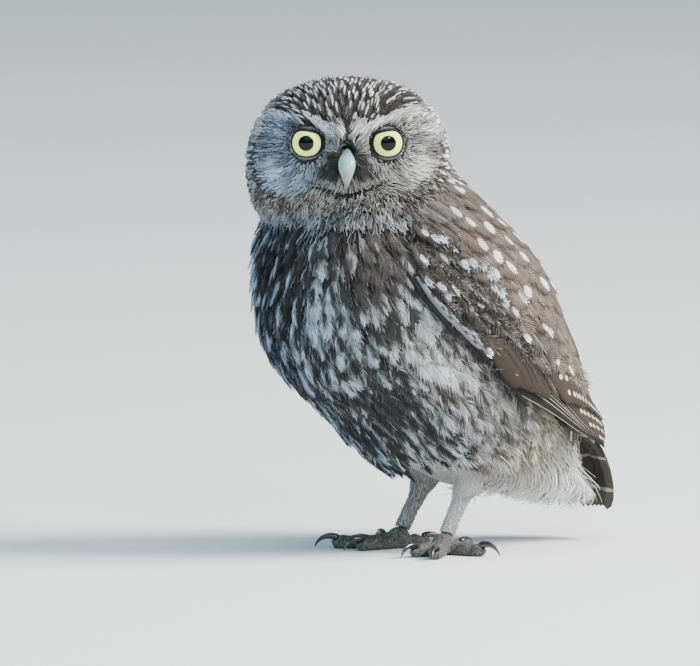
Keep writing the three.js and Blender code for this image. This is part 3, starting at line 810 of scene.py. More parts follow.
def face_share(q):
    """1 on the face, 0 behind its rim, above the brows and below the jaw."""
    x = np.abs(q[:, 0])
    ring = 1 - smooth(0.97, 1.03, np.hypot(x / 35.5, (q[:, 2] - 6) / 26))
    lower = smooth(-0.5, 0.5, q[:, 2] - jaw_line(q[:, 0]) - 0.6)
    upper = 1 - smooth(-0.5, 1.0, q[:, 2] + mix(0.4, 4.4, smooth(4, 14, x)) - crown_edge(q[:, 0]))
    return ring * lower * upper * (q[:, 1] < -6)


def in_ruff(points):
    """1 on the curly ruff under the face."""
    q = to_head(points)
    front = smooth(4, -6, q[:, 1])
    front = front * smooth(40, 34, np.abs(q[:, 0]))
    return smooth(0.8, -0.8, q[:, 2] - jaw_line(q[:, 0])) * smooth(-20, -17, q[:, 2]) * front


def bill_half(z):
    return np.interp(z, [-6, -2, 2, 6.2, 9, 10.2], [0.3, 1.6, 2.7, 2.6, 0.8, 0.0])


def in_socket(points):
    q = to_head(points)
    hidden = np.zeros(len(points), bool)
    for side in (1, -1):
        off = q - EYE_PLACE * [side, 1, 1]
        hidden |= np.linalg.norm(off, axis=1) < 8.8
        hidden |= (np.hypot(off[:, 0] - side * 0.8, off[:, 2] + 0.5) < 6.1) & (q[:, 1] < -10)
    bill = (np.abs(q[:, 0]) < bill_half(q[:, 2])) & (q[:, 2] > -5) & (q[:, 2] < 11.5) & (q[:, 1] < -24)
    return hidden | bill


BROWN = (0.118, 0.09, 0.072)
BLACKISH = (0.014, 0.012, 0.012)
ASH = (0.42, 0.42, 0.425)
PALE = (0.6, 0.6, 0.605)
WHITE = (0.86, 0.86, 0.85)


def trunk_rows(first, last, pitch, columns):
    """Feather roots in rows round the trunk."""
    places = []
    for number, place in enumerate(np.arange(first, last, pitch)):
        for column in range(columns):
            turn = (column + 0.5 * (number % 2) + chance.normal(0, 0.12)) / columns * 360
            here = place + chance.normal(0, 0.16) * pitch
            axis = TRUNK_TOP + here * ALONG + MIDDLE(here) * DORSAL
            ray = SIDE * math.cos(turn * DEG) + DORSAL * math.sin(turn * DEG)
            hit, _, face, _ = body.tree.ray_cast(Vector(axis), Vector(ray), 90)
            if hit is not None:
                places.append((*hit, face))
    found = np.array(places)
    return found[:, :3], body.normal[found[:, 3].astype(int)]


def dark_share(place, turn):
    """How much of the breast and belly is dark, along the trunk and round it from the belly."""
    off = np.abs(turn)
    share = 0.62 + 0.3 * bump(place - 12, 15) * smooth(40, 12, off)
    share = share - 0.22 * bump(place - 28, 13) * bump(off - 40, 17)
    share = share - 0.2 * bump(place - 20, 12) * bump(turn - 30, 18)
    share = share - 0.25 * bump(place - 62, 16) * bump(off - 66, 13)
    share = share + (0.2 * smooth(36, 56, place) - 0.09 * smooth(76, 100, place)) * smooth(62, 42, off)
    share = share - 0.25 * bump(place - 56, 13) * bump(turn - 74, 11)
    share = mix(share, 0.47, smooth(50, 72, off) * smooth(40, 56, place))
    return mix(share, 0.3, smooth(116, 134, place) * smooth(15, 40, off))


def breast_shade(points, own):
    """A rule for the ground colour of feathers that start at these points.

    Long dark streaks run with the feathers between pale ones, and tips are paler than roots.
    """
    place, turn = trunk_turn(points)
    off = np.abs(turn)
    round_way = turn * DEG * (WING_WIDTH(place) + WING_DEPTH(place)) / 2
    # Painted cool shade: from the owl's left towards its right side the pale and dark colours turn blue-grey.
    painted_cool_shade = smooth(50, -20, turn)
    flank = smooth(46, 72, off) * smooth(38, 55, place)
    bright = bump(place - 64, 18) * bump(off - 68, 14)
    soft = bump(place - 16, 16) * smooth(46, 60, off)
    vent = smooth(108, 122, place) * smooth(30, 50, off)
    pale = tint([painted_cool_shade, flank, soft, vent, bright], [
        (0.38, 0.41, 0.46), (0.28, 0.35, 0.47), (0.3, 0.29, 0.285), (0.27, 0.24, 0.23),
        (0.46, 0.42, 0.36), (0.5, 0.5, 0.51),
    ])
    dark = tint([painted_cool_shade, flank, soft, vent], [
        (0.016, 0.013, 0.014), (0.007, 0.007, 0.009), (0.06, 0.045, 0.036), (0.055, 0.043, 0.04),
        (0.17, 0.135, 0.105),
    ])
    back = smooth(100, 120, off)
    jitter = chance.normal(0, 1, (3, len(points)))

    def shade(across, along):
        u = round_way[:, None] + across + 0.7 * jitter[0][:, None]
        v = place[:, None] + along + 2.0 * jitter[1][:, None]
        bend = 1.5 * patchy(u / 14, v / 22, 5)
        wide = mix(3.2, 2.4, smooth(30, 55, place))[:, None]
        streaks = patchy(u / wide + bend, v / 12 + bend) + patchy(u / 1.1, v / 7, 3) * 0.78
        tip = along / 15 - 0.8
        field = streaks + own * (0.1 * jitter[2][:, None] + 0.34 * np.clip(tip, -0.5, 0.3))
        level = ranked(field) - dark_share(place, turn)[:, None]
        share = smooth(-0.09, 0.09, level)[..., None]
        tone = (0.78 + 0.45 * patchy(u / 0.8, v / 9, 7))[..., None]
        made = mix(dark[:, None], pale[:, None], share) * tone
        return mix(made, np.array(BROWN), back[:, None, None])

    return shade


def body_look(points, normals):
    """Feathers of breast, belly, flanks and back."""
    count = len(points)
    place, turn = trunk_turn(points)
    round_off = np.abs(turn)
    back = smooth(95, 120, round_off)
    flank = smooth(35, 70, round_off) * smooth(45, 75, place) * (1 - back)
    one, two = chance.random((2, count))
    ring = 2 * math.pi * (WING_WIDTH(place) + WING_DEPTH(place)) / 2 * 0.93
    width = ring / 36 * mix(1.1, 1.35, flank) * vary(count, 0.85, 1.15)
    length = mix(12.5, 18.5, smooth(5, 60, place)) * mix(1.0, 1.2, flank) * vary(count, 0.88, 1.12)
    rise = coat_depth(points) * vary(count, 0.75, 1.2)
    hem = bump(place - 117, 15) * smooth(62, 34, np.abs(turn + 26))
    rise = mix(rise, 1.6, back) + 7.5 * hem
    length = length * (1 + 0.35 * hem)
    late = smooth(112, 132, place) * (1 - back)
    mark = mix(np.array((0.03, 0.024, 0.022)), np.array(WHITE), back[:, None])
    half_wide = np.where(back > 0.5, np.where(two < 0.5, 0.36, 0.02), 0.01)
    return look_of(
        count, length=length, width=width, rise=rise, ragged=mix(mix(1.0, 1.2, late), 0.3, back),
        puff=mix(0.4, 1.0, flank) * vary(count, 0.2, 1.2), sway=chance.normal(0, 0.06, count),
        roll=chance.normal(0, 0.06, count), astray=0.09, mark=mark, camber=0.9,
        trait=np.stack([one, half_wide, np.where(back > 0.5, 0.14, 0.4)], 1), streaky=0.22,
        spot=np.stack([np.zeros(count), np.where(back > 0.5, 0.78, 0.6), np.zeros(count)], 1), sunk=0.7,
    )


def crown_spacing(points, normals):
    q = to_head(points)
    keep = (head_share(points) > 0.3) & (face_share(q) < 0.5) & (in_ruff(points) < 0.4)
    keep &= (q[:, 2] > -15) | (q[:, 1] > 4)
    return np.where(keep & ~in_socket(points), mix(2.5, 2.0, smooth(4, -16, q[:, 1])), 0)


def crown_look(points, normals):
    """Short feathers of crown, nape and sides of the head, dark with white drops."""
    count = len(points)
    q = to_head(points)
    x, z = np.abs(q[:, 0]), q[:, 2]
    front = smooth(2, -14, q[:, 1]) * smooth(18, 24, z)
    top = smooth(12, 22, z)
    brow_side = front * smooth(40, 32, z)
    temple = 0.5 * smooth(24, 30, x) * smooth(10, 17, z) * smooth(36, 28, z) * smooth(4, -8, q[:, 1])
    side = smooth(30, 35, x) * smooth(16, 8, z) * smooth(-22, -12, z) * smooth(20, 6, q[:, 1])
    white_patch = smooth(7.0, 5.0, np.linalg.norm(q - [41.5, -13, -5.5], axis=1))
    one, two, three = chance.random((3, count))
    length = mix(8.0, 6.2, front) * vary(count, 0.85, 1.15)
    width = mix(3.7, 2.5, front) * vary(count, 0.8, 1.2)
    drop = (two < mix(mix(0.55, 0.76, top), 0.78, side)) & ((z > -4) | (q[:, 1] > -4))
    half_wide = np.where(drop, mix(mix(0.4, 0.37, brow_side), 0.42, side) * vary(count, 0.5, 1.3), 0.03)
    half_long = mix(mix(0.17, 0.36, brow_side), 0.3, side) * vary(count, 0.6, 1.35)
    colours = [(0.034, 0.025, 0.024), (0.05, 0.039, 0.034), PALE, (0.93, 0.93, 0.93)]
    ground = tint([1 - top, temple, white_patch], colours) * vary(count, 0.6, 1.4)[:, None]
    # Painted shade and light: the white drops are dim blue-grey on the owl's right side and warm white on its
    # left.
    mark = mix(np.array((0.42, 0.46, 0.52)), np.array((0.9, 0.86, 0.81)), smooth(-20, 10, q[:, 0])[:, None])
    mark = mark * mix(0.5, 1.0, three)[:, None]
    return look_of(
        count, length=length, width=width, rise=mix(2.1, 1.7, front) * vary(count, 0.75, 1.2), ragged=1.1,
        puff=0.1, camber=0.3, sunk=0.4, astray=0.11, streaky=0.22, sway=chance.normal(0, 0.06, count),
        roll=chance.normal(0, 0.08, count), ground=ground, mark=mark,
        trait=np.stack([one, half_wide, half_long], 1),
        spot=np.stack([chance.normal(0, 0.15, count), vary(count, 0.68, 0.82), np.zeros(count)], 1),
    )


def face_spacing(points, normals):
    q = to_head(points)
    gap = mix(0.5, 0.64, smooth(8, 16, near_eye(q)))
    return np.where((face_share(q) > 0.3) & ~in_socket(points), gap, 0)


def face_tone(q, root, one):
    """Colour of the face's fine locks, by where their outer half lies and where they start."""
    x, z = np.abs(q[:, 0]), q[:, 2]
    side = np.sign(q[:, 0])
    eye = near_eye(q)
    round_eye = np.arctan2(z - EYE_PLACE[2], x - EYE_PLACE[0]) + side * 5
    fan = patchy(round_eye * 9.0, eye / 6.0, 2) + 0.35 * one
    streak = smooth(0.36, 0.28, ranked(fan)) * smooth(7.5, 10, eye)
    left = side > 0
    over_brow = z - brow_line(q[:, 0])
    brow = bump(over_brow + 0.4 * left, mix(2.6, 2.0, smooth(6, 14, x)) + 1.4 * left)
    brow = brow * smooth(3, 7, x) * mix(0.6, 1.0, left)
    # Painted shadow of the brow: a dark band under the brow's edge over each eye, deeper on the owl's right
    # side.
    painted_brow_shadow = bump(over_brow + 3.3, 1.5) * smooth(9, 13, x) * smooth(27, 22, x) * mix(1.0, 0.25, left)
    between = smooth(7, 3, x) * bump(z - 18.2, 2.0)
    spot = bump(np.hypot(q[:, 0], (z - 14.2) * 0.6), 1.6)
    crease = x - (6.5 + (9.0 - z) * 0.55)
    lore = bump(x - 9.2 - (9.0 - z) * 1.0, 1.3) * smooth(-5, -1, z) * smooth(12, 8, z)
    bristle = smooth(1.2, -0.6, crease) * smooth(-3.6, -1.0, z) * smooth(13.5, 11, z)
    chin = smooth(1.0, 3.0, x) * smooth(0.4, -2.2, z) * smooth(4.5, 0.0, crease)
    cheek_low = bump((x - 32) / 8, 1.0) * bump((z - np.where(left, 2.5, -2.0)) / 7, 1.0)
    temple = smooth(21, 28, x) * smooth(12, 18, z) * mix(0.5, 1.0, left)
    under = bump(eye - 7.6, 0.8) * smooth(EYE_PLACE[2] - 2, EYE_PLACE[2] - 5, z)
    # The near-black crease under the chin is partly a dark line of the coat, partly painted shadow under the
    # bill.
    smile_mark_and_shadow = smooth(4.3, 3.3, root[:, 2] - smile_line(x)) * smooth(18, 11, x)
    rim = smooth(0.86, 1.0, np.hypot(x / 36.5, (z - 6) / 27)) * (one > 0.45) * smooth(28, 22, z)
    layers = [
        (streak * 0.62, (0.03, 0.026, 0.025)),
        (cheek_low * 0.95 * (1 - 0.5 * streak), (0.72, 0.72, 0.73)),
        (temple * 0.85 * (1 - 0.7 * streak), (0.74, 0.74, 0.74)),
        (rim * 0.8, (0.05, 0.042, 0.036)),
        (lore * 0.8, (0.46, 0.42, 0.37)),
        (chin * 0.7, (0.30, 0.275, 0.25)),
        (under * 0.85, PALE),
        (brow * np.where(one < 0.3, 0.2, 0.95) * mix(0.75, 1.0, smooth(6, 14, x)), (0.9, 0.9, 0.9)),
        (painted_brow_shadow * 0.85, (0.03, 0.026, 0.025)),
        (between * 0.85, (0.72, 0.71, 0.69)),
        (bristle * np.where(one < 0.16, 0.5, 0.98), (0.008, 0.008, 0.010)),
        (spot * 0.93, (0.035, 0.031, 0.031)),
        (smile_mark_and_shadow * 0.95, (0.010, 0.009, 0.010)),
    ]
    return tint([share for share, _ in layers], [(0.31, 0.31, 0.315)] + [colour for _, colour in layers])


def face_look(points, normals):
    """Fine locks of the face: grey, with pale brows and dark bristles by the bill."""
    count = len(points)
    q = to_head(points)
    x, z = np.abs(q[:, 0]), q[:, 2]
    eye = near_eye(q)
    brow = bump(z - brow_line(q[:, 0]) + 2.4, 2.8) * smooth(4, 9, x)
    low = smooth(5.4, 3.8, z - smile_line(x)) * smooth(20, 14, x)
    deep = smooth(3.6, 3.0, z - smile_line(x)) * smooth(18, 11, x)
    length = mix(2.8, 5.8, smooth(7, 16, eye)) * vary(count, 0.8, 1.2)
    length = mix(mix(mix(length, 7.5, brow), 3.0, low), 1.7, deep)
    rise = mix(0.7, 1.5, smooth(8, 18, eye)) * vary(count, 0.5, 1.4)
    rise = mix(mix(mix(rise, 3.2, brow), 1.6, low), 0.3, deep)
    ahead = to_head(points + coat_lie(points, normals) * (length * 0.62)[:, None])
    one = chance.random(count)
    # Painted cool shade: the face's colours are tinted blue towards the owl's right side and warm on its
    # left.
    painted_cool_shade = mix(np.array((0.8, 0.96, 1.22)), np.array((1.04, 1.0, 0.97)), smooth(-24, 8, q[:, 0])[:, None])
    ground = np.clip(face_tone(ahead, q, one) * painted_cool_shade * vary(count, 0.65, 1.3)[:, None], 0, 0.95)
    return look_of(
        count, length=length, width=mix(0.42, 0.66, smooth(7, 20, eye)) * vary(count, 0.75, 1.25), rise=rise,
        sunk=0.3, camber=0.1, ragged=0.0, sway=chance.normal(0, 0.09, count), astray=0.12,
        ground=ground, mark=ground * 0.7, streaky=0.0,
    )


def ruff_spacing(points, normals):
    gap = np.where(in_ruff(points) > 0.2, 0.58, 0)
    return np.where(in_socket(points), 0, gap)


def ruff_look(points, normals):
    """Curled locks of the throat and the sides below the face."""
    count = len(points)
    q = to_head(points)
    x, z = np.abs(q[:, 0]), q[:, 2]
    one, two = chance.random((2, count))
    low = smooth(-12, -17, z)
    side = smooth(15, 24, x)
    tuft = smooth(0.42, 0.3, ranked(patchy(q[:, 0] / 1.8, z / 2.2, 9) + 0.25 * one))
    # Painted cool shade: low on the owl's right side the pale locks turn darker blue-grey.
    colours = [(0.36, 0.335, 0.315), (0.44, 0.44, 0.45), (0.30, 0.345, 0.41)]
    pale = tint([low, low * smooth(8, -10, q[:, 0])], colours)
    dark = tint([low], [(0.085, 0.072, 0.064), (0.035, 0.032, 0.034)])
    ground = mix(pale, dark, (tuft * mix(0.75, 0.95, side))[:, None])
    ground = mix(ground, np.array((0.06, 0.048, 0.042)), (side * (two < 0.35) * (1 - low))[:, None])
    ground = ground * vary(count, 0.65, 1.3)[:, None]
    return look_of(
        count, length=mix(4.4, 6.2, low) * vary(count, 0.7, 1.25), width=vary(count, 0.32, 0.55),
        rise=mix(2.3, 2.0, low) * vary(count, 0.4, 1.4), sunk=0.4, camber=0.1, ragged=0.0,
        puff=vary(count, 0, 1.0), sway=chance.normal(0, 0.32, count), astray=mix(0.42, 0.22, low),
        ground=ground, mark=ground * 0.7, streaky=0.0,
    )


def fluff_share(points):
    """1 on vent and thighs, where the coat is loose down."""
    place, turn = trunk_turn(points)
    vent = smooth(118, 132, place) * smooth(112, 96, np.abs(turn))
    return np.maximum(vent, smooth(50, 42, points[:, 2]))


def fluff_spacing(points, normals):
    gap = np.where((fluff_share(points) > 0.3) & (points[:, 2] > 5), 1.02, 0)
    leg = (points[:, 2] < 46) & (trunk_place(points)[0] < 158) & (points[:, 1] < 24)
    return np.where(leg & (points[:, 2] > 5), mix(0.68, 1.0, smooth(28, 44, points[:, 2])), gap)


def fluff_look(points, normals):
    """Soft hair-like feathers of vent, thighs and legs."""
    count = len(points)
    place, turn = trunk_turn(points)
    one = chance.random(count)
    leg = smooth(46, 34, points[:, 2]) * (place < 158) * smooth(30, 22, points[:, 1])
    tail_end = smooth(136, 160, place)
    warm = bump((place - 136) / 16, 1.0) * smooth(30, 55, np.abs(turn)) * (1 - leg)
    length = mix(mix(12.0, 25.0, tail_end), 2.7, leg) * vary(count, 0.7, 1.25)
    wisp = (chance.random(count) < 0.02) & (leg < 0.1)
    length = np.where(wisp, length * 1.25, length)
    grey = (one < 0.3) * (1 - leg) * (1 - tail_end) * 0.7
    ground = tint([leg, tail_end * (1 - leg), warm * 0.8, grey], [
        (0.54, 0.51, 0.47), (0.44, 0.435, 0.43), (0.93, 0.93, 0.92), (0.36, 0.295, 0.23), (0.17, 0.145, 0.13),
    ])
    # Painted shade: the locks of the leg on the owl's right side are darkened to half.
    ground = ground * mix(1.0, 0.5, leg * (points[:, 0] < 0))[:, None]
    ground = np.clip(ground * vary(count, 0.8, 1.12)[:, None], 0, 0.95)
    width = mix(mix(0.6, 0.5, tail_end), 0.56, leg) * vary(count, 0.7, 1.2)
    rise = coat_depth(points) * vary(count, 0.5, 1.4) + 1.8 * tail_end
    return look_of(
        count, length=length, width=width, rise=mix(rise, 0.7, leg) + 4.0 * wisp, sunk=0.4, camber=0.1,
        ragged=0.0, sway=chance.normal(0, 0.12, count), astray=mix(mix(0.2, 0.13, tail_end), 0.12, leg),
        ground=ground, mark=ground * 0.85, streaky=0.0,
    )


def hair_spacing(points, normals):
    keep = (head_share(points) < 0.5) & (fluff_share(points) < 0.7) & ~under_wing(points, 5)
    keep &= trunk_place(points)[1] < 30
    return np.where(keep & (in_ruff(points) < 0.5), 1.5, 0)


def hair_look(points, normals):
    """Loose barbs that blur the edges of the breast's feathers."""
    count = len(points)
    return look_of(
        count, length=vary(count, 6, 13), width=vary(count, 0.3, 0.5),
        rise=coat_depth(points) * vary(count, 0.6, 1.1), sunk=0.2, camber=0.0, ragged=0.0,
        puff=vary(count, 0.2, 0.9), sway=chance.normal(0, 0.14, count), astray=0.14, streaky=0.0,
    )


def bristle_roots():
    """Places round the bill's root for its long dark hairs."""
    places = []
    for side in (-1, 1):
        for _ in range(95):
            z = chance.uniform(0.0, 12.0)
            x = bill_half(z) + chance.uniform(0.3, 3.6)
            places.append(from_head([side * x, -40.0, z]))
        for _ in range(13):
            places.append(from_head([side * chance.uniform(0, 2.6), -40.0, chance.uniform(11.5, 15.5)]))
    return body.settle(np.array(places))


def bristle_lie(points, normals):
    q = to_head(points)
    side = np.where(q[:, 0] > 0, 1.0, -1.0)
    lower = smooth(12, 2, q[:, 2])
    above = smooth(10.5, 12, q[:, 2])
    aside = mix(mix(0.9, 0.75, lower), 0.15, above)
    way = np.stack([side * aside, -above, mix(mix(0.5, -1.0, lower), -1.2, above)], 1)
    way = turned(unit(way), HEAD_TURN)
    return along_surface(way, normals, 1 - above[:, None])


def bristle_look(points, normals):
    """Long dark hairs at the bill."""
    count = len(points)
    return look_of(
        count, length=vary(count, 4.5, 9), width=0.4, rise=vary(count, 1.2, 4.0), sunk=0.4, camber=0,
        ragged=0, sway=chance.normal(0, 0.15, count), astray=0.15, ground=BLACKISH, mark=BLACKISH,
    )


def body_roots():
    """Rows of roots on the trunk, where neither wing, head nor down covers it."""
    points, normals = trunk_rows(-2, 166, 5.0, 36)
    keep = (head_share(points) < 0.5) & ~under_wing(points, 9) & (points[:, 2] > 38) & (in_ruff(points) < 0.5)
    keep &= fluff_share(points) < 0.85
    return points[keep], normals[keep]


coat = feather_paint("feather", 9.0)
fine_coat = feather_paint("fine_feather", 4.0)

# Each part of the coat: where it grows, its lie, look, shape, paint and steps along a feather, how much
# each feather has of its own in the breast's streaks (None: no streaks), and its slot.
COAT = [
    ("body_feathers", body_roots, coat_lie, body_look, BODY_PLUME, coat, 4, 1.0, "breast_feathers"),
    ("crown_feathers", crown_spacing, coat_lie, crown_look, HEAD_PLUME, coat, 4, None, "head_feathers"),
    ("face_feathers", face_spacing, coat_lie, face_look, LOCK, fine_coat, 3, None, "head_feathers"),
    ("ruff_feathers", ruff_spacing, coat_lie, ruff_look, LOCK, fine_coat, 3, None, "breast_feathers"),
    ("vent_and_leg_feathers", fluff_spacing, coat_lie, fluff_look, LOCK, fine_coat, 3, None, "leg_feathers"),
    ("loose_barbs", hair_spacing, coat_lie, hair_look, BARB, fine_coat, 3, 0.4, "breast_feathers"),
    ("bill_bristles", bristle_roots, bristle_lie, bristle_look, LOCK, fine_coat, 4, None, "head_feathers"),
]
for name, growing, lie, look, shape, paint, steps, own, slot in COAT:
    roots = growing() if growing in (body_roots, bristle_roots) else body.scatter(growing)
    shade = None if own is None else breast_shade(roots[0], own)
    for piece in grow(name, body, lie, roots, look(*roots), shape, paint, skin_chart, steps, shade):
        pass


# Wings and tail

def squares(at):
    """The corners of each square in a grid of point numbers."""
    for i in range(at.shape[0] - 1):
        for j in range(at.shape[1] - 1):
            yield at[i, j], at[i, j + 1], at[i + 1, j + 1], at[i + 1, j]


def big_vane(rows, columns):
    """A long feather: a cambered upper face of rows and columns, closed below by a strip."""
    along = 1 - (1 - np.linspace(0, 1, rows)) ** 1.5
    grid = np.array([(u, v) for v in along for u in np.linspace(-1, 1, columns)])
    at = np.arange(rows * columns).reshape(rows, columns)
    faces = []
    for i in range(rows - 1):
        for a, b, c, d in squares(at[i:i + 2]):
            faces += [(a, b, c), (a, c, d)]
        for a, b, c, d in squares(at[i:i + 2, [0, -1]]):
            faces += [(a, c, b), (a, d, c)]
    for j in range(1, columns - 1):
        faces.append((at[0, 0], at[0, j + 1], at[0, j]))
    for j in range(1, columns - 1):
        faces.append((at[-1, j], at[-1, j + 1], at[-1, 0]))
    return grid, np.array(faces)


def outline_round(along, blunt):
    """A feather's half width along it: narrow root, even middle, round tip."""
    root = np.clip(0.42 + 2.4 * along, 0, 1)
    tip = np.clip((along - (1 - blunt)) / blunt, 0, 1)
    return root * np.sqrt(np.clip(1 - tip**2.3, 0.0, 1)) + 0.02


def lay_vanes(name, laid, place_at, chart, mirror):
    """Long feathers laid one by one, joined as one mesh."""
    grid, faces = big_vane(13, 7)
    across, along = grid.T
    points = np.stack([
        place_at(one, across, along, outline_round(along, one["blunt"]) * one["width"] / 2) for one in laid
    ])
    if mirror:
        points, faces = points * [-1, 1, 1], faces[:, ::-1]
    corners = (faces + np.arange(len(laid))[:, None, None] * len(grid)).reshape(-1, 3)
    piece = piece_from(name, points.reshape(-1, 3), corners, wing_coat)
    patch = chart(points[:, 0])[:, None] + (grid - [0, 0.5]) * FEATHER_CHART
    give_charts(piece.data, corners, vane=np.broadcast_to(grid, patch.shape), OFBake=patch)
    for key in PER_FEATHER:
        values = np.array([one[key] for one in laid])
        if key in ("ground", "mark"):
            values = np.concatenate([values, np.ones((len(laid), 1))], 1)
        give(piece.data, key, np.repeat(values, len(grid), 0))
    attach(piece, "root")
    return piece


def on_wing(one, across, along, wide):
    """A feather's points on the folded wing's surface."""
    (t0, a0), (t1, a1) = one["root"], one["tip"]
    a0, a1 = a0 * DEG, a1 * DEG
    radius = float(WING_WIDTH(t0) + WING_DEPTH(t0)) / 2
    run = np.array([t1 - t0, (a1 - a0) * radius])
    length = np.hypot(*run)
    half = across * wide
    place = mix(t0, t1, along) - half * run[1] / length
    angle = mix(a0, a1, along) + half * run[0] / length / radius
    height = mix(-one["sunk"], one["rise"], along**0.7) + 0.4 * across + 0.45 * (1 - across**2)
    return wing_point(place, angle, height)


def wing_chart(points):
    place, angle = wing_place(points)
    return 0.05 + 0.9 * np.clip(np.stack([(angle + 15) / 110, place / 175], 1), 0, 1)


# Each tier: kind, how many, first and last tips as (place, degrees), length, width, lean in degrees,
# and how far its roots lie under and its tips over the wing's surface.
WING_TIERS = [
    ("primary", 6, (157, 17), (168, 24), 60, 2.7, -20.8, 3.4, -1.2),
    ("secondary", 9, (166, 25), (163, 47), 50, 9, 0, 3.8, -1.0),
    ("secondary", 13, (133, 20), (160, 50), 44, 9, 0, 3.4, -0.3),
    ("secondary", 6, (128, 56), (154, 76), 40, 14, 0, 3.2, 0.1),
    ("plain", 5, (104, -0.5), (120, 8), 30, 6.5, -1, 2.6, 0.2),
    ("shadow", 9, (60, -9), (116, -1), 26, 1.5, -2, 3.8, -1.9),
    ("edge", 6, (56, -7.2), (82, -4.2), 20, 1.6, -1.5, 2.4, 0.2),
]
# The cream bars of the secondaries cross the feathers in slanting rows.
BAR_START, BAR_SLANT, BAR_GAP = 98.8, 1.02, 9.5


def markings(kind, index, length, root, angle, own):
    """Colours and marks of one long feather, and how blunt it is."""
    if kind == "primary":
        return dict(
            ground=(0.006, 0.005, 0.004), mark=(0.42, 0.37, 0.3), trait=(index * 3.7, 0.11, 0.55),
            spot=(0.84 if index else -0.8, 0.55, 0.0), blunt=0.3,
        )
    if kind == "secondary":
        rows = length / BAR_GAP
        bar = (BAR_START + BAR_SLANT * angle - root) / length
        return dict(
            ground=(0.034, 0.024, 0.017), mark=(0.58, 0.53, 0.45), trait=(index * 3.1, 0.26, 0.16),
            spot=(0.4, bar - 0.5 / rows, rows), blunt=0.22,
        )
    if kind == "edge":
        return dict(
            ground=(0.15, 0.165, 0.19), mark=(0.02, 0.018, 0.018), trait=(index * 2.3, 0.7, 0.22),
            spot=(0.7, 0.3, 3.0), blunt=0.36,
        )
    if kind == "shadow":
        black = (0.008, 0.007, 0.008)
        return dict(
            ground=black, mark=black, trait=(index * 3.7 + length, 0.3, 0.2),
            spot=(0.0, 0.6, 0.0), blunt=0.36,
        )
    return dict(
        ground=np.array((0.027, 0.018, 0.012)) * (1 + 0.35 * own), mark=(0.008, 0.006, 0.005),
        trait=(index * 5.3, 0.3, 0.6), spot=(0.95, 0.5, 0.0), blunt=0.36,
    )


def tier_feathers(kind, count, first, last, length, width, lean, sunk, rise):
    """The feathers of one tier, each a little unlike the next."""
    for index in range(count):
        share = index / (count - 1)
        jitter = chance.uniform(-1, 1, 4)
        place = mix(first[0], last[0], share) + 0.5 * jitter[0]
        angle = mix(first[1], last[1], share) + 0.7 * jitter[1]
        yield dict(
            root=(place - length, angle + lean * (1 - 0.37 * share)), tip=(place, angle),
            width=width * (1 + 0.05 * jitter[2]), sunk=sunk, rise=rise + 0.12 * jitter[3],
            **markings(kind, index, length, place - length, angle, jitter[0]),
        )


wing_coat = feather_paint("wing_feather", 26.0, 0.7, 0.0)

BED_ROWS, BED_COLUMNS = 34, 20


def wing_bed(mirror):
    """The closed body of packed feathers that the wing's outer feathers lie on."""
    place = np.linspace(17, 163, BED_ROWS)
    share = np.linspace(0, 1, BED_COLUMNS)
    upper = np.minimum(WING_UPPER(place), mix(84, 48, smooth(128, 163, place)))
    lower = WING_LOWER(place) + 1.5 + 4 * smooth(106, 124, place) + 7 * smooth(136, 163, place)
    angle = mix(lower[:, None], upper[:, None], share[None]) * DEG
    edge = np.sin(np.pi * share) ** 0.5
    row = np.arange(BED_ROWS)
    end = np.clip(np.minimum(row, BED_ROWS - 1 - row) / 3, 0, 1) ** 0.5
    height = -2.2 - 1.6 * (1 - edge[None] * end[:, None])
    places = np.broadcast_to(place[:, None], angle.shape)
    top = wing_point(places, angle, height)
    depth = -5.5 + 1.5 * smooth(136, 163, place)[:, None]
    low = wing_point(places, angle, np.broadcast_to(depth, angle.shape))
    at = np.arange(angle.size).reshape(angle.shape)
    faces = []
    for corners in squares(at):
        a, b, c, d = corners
        faces += [(a, b, c), (a, c, d)]
        a, b, c, d = (corner + at.size for corner in corners)
        faces += [(a, c, b), (a, d, c)]
    edge_loop = list(at[0, :-1]) + list(at[:-1, -1]) + list(at[-1, :0:-1]) + list(at[:0:-1, 0])
    for a, b in zip(edge_loop, edge_loop[1:] + edge_loop[:1]):
        faces += [(a, a + at.size, b + at.size), (a, b + at.size, b)]
    points = np.concatenate([top.reshape(-1, 3), low.reshape(-1, 3)])
    faces = np.array(faces)
    corners = points[faces]
    volume = np.einsum("ij,ij->i", corners[:, 0], np.cross(corners[:, 1], corners[:, 2])).sum()
    if volume < 0:
        faces = faces[:, ::-1]
    if mirror:
        points, faces = points * [-1, 1, 1], faces[:, ::-1]
    return points, faces


def wing_lie(points, normals):
    lie = np.broadcast_to(ALONG + 0.06 * DORSAL, points.shape)
    return along_surface(lie, normals)


# White ovals of the wing, as (place, angle), each on its own feather: scapulars, then coverts.
SCAPULAR_SPOTS = [
    (32.5, 24), (39.5, 25.5), (46, 43.5), (48.5, 34.5), (55, 49.5), (59.5, 41), (67, 55), (49, 23),
    (57.5, 25.5), (65.5, 28), (69.5, 41), (77.5, 27), (85, 39.5), (77.5, 22), (60, 18.5),
    (30, 40), (38, 55), (50, 62), (62, 66), (78, 58), (90, 62), (92, 50),
]
COVERT_SPOTS = [
    (22.5, -3), (24, 1), (26, -2), (31, -4.5), (57, -6), (68.7, -4.6), (82, -3), (92, -1), (78, 16),
    (94.5, 22.5), (98.5, 25.5), (111.5, 25), (122, 30.5), (90.5, 12),
]
# Lengths of the scapulars and coverts that carry them.
SPOTTED_LENGTHS = (20.0, 11.0)
# Ragged blue-white tufts among the coverts.
COVERT_TUFTS = [
    (34, -2), (42, -4.5), (47, -4), (51, -2.5), (31.5, 5), (34, 9), (47.5, 10), (50, 14), (54, 16),
    (59.5, 17), (63.5, 14.5), (68, 17), (72, 14),
]


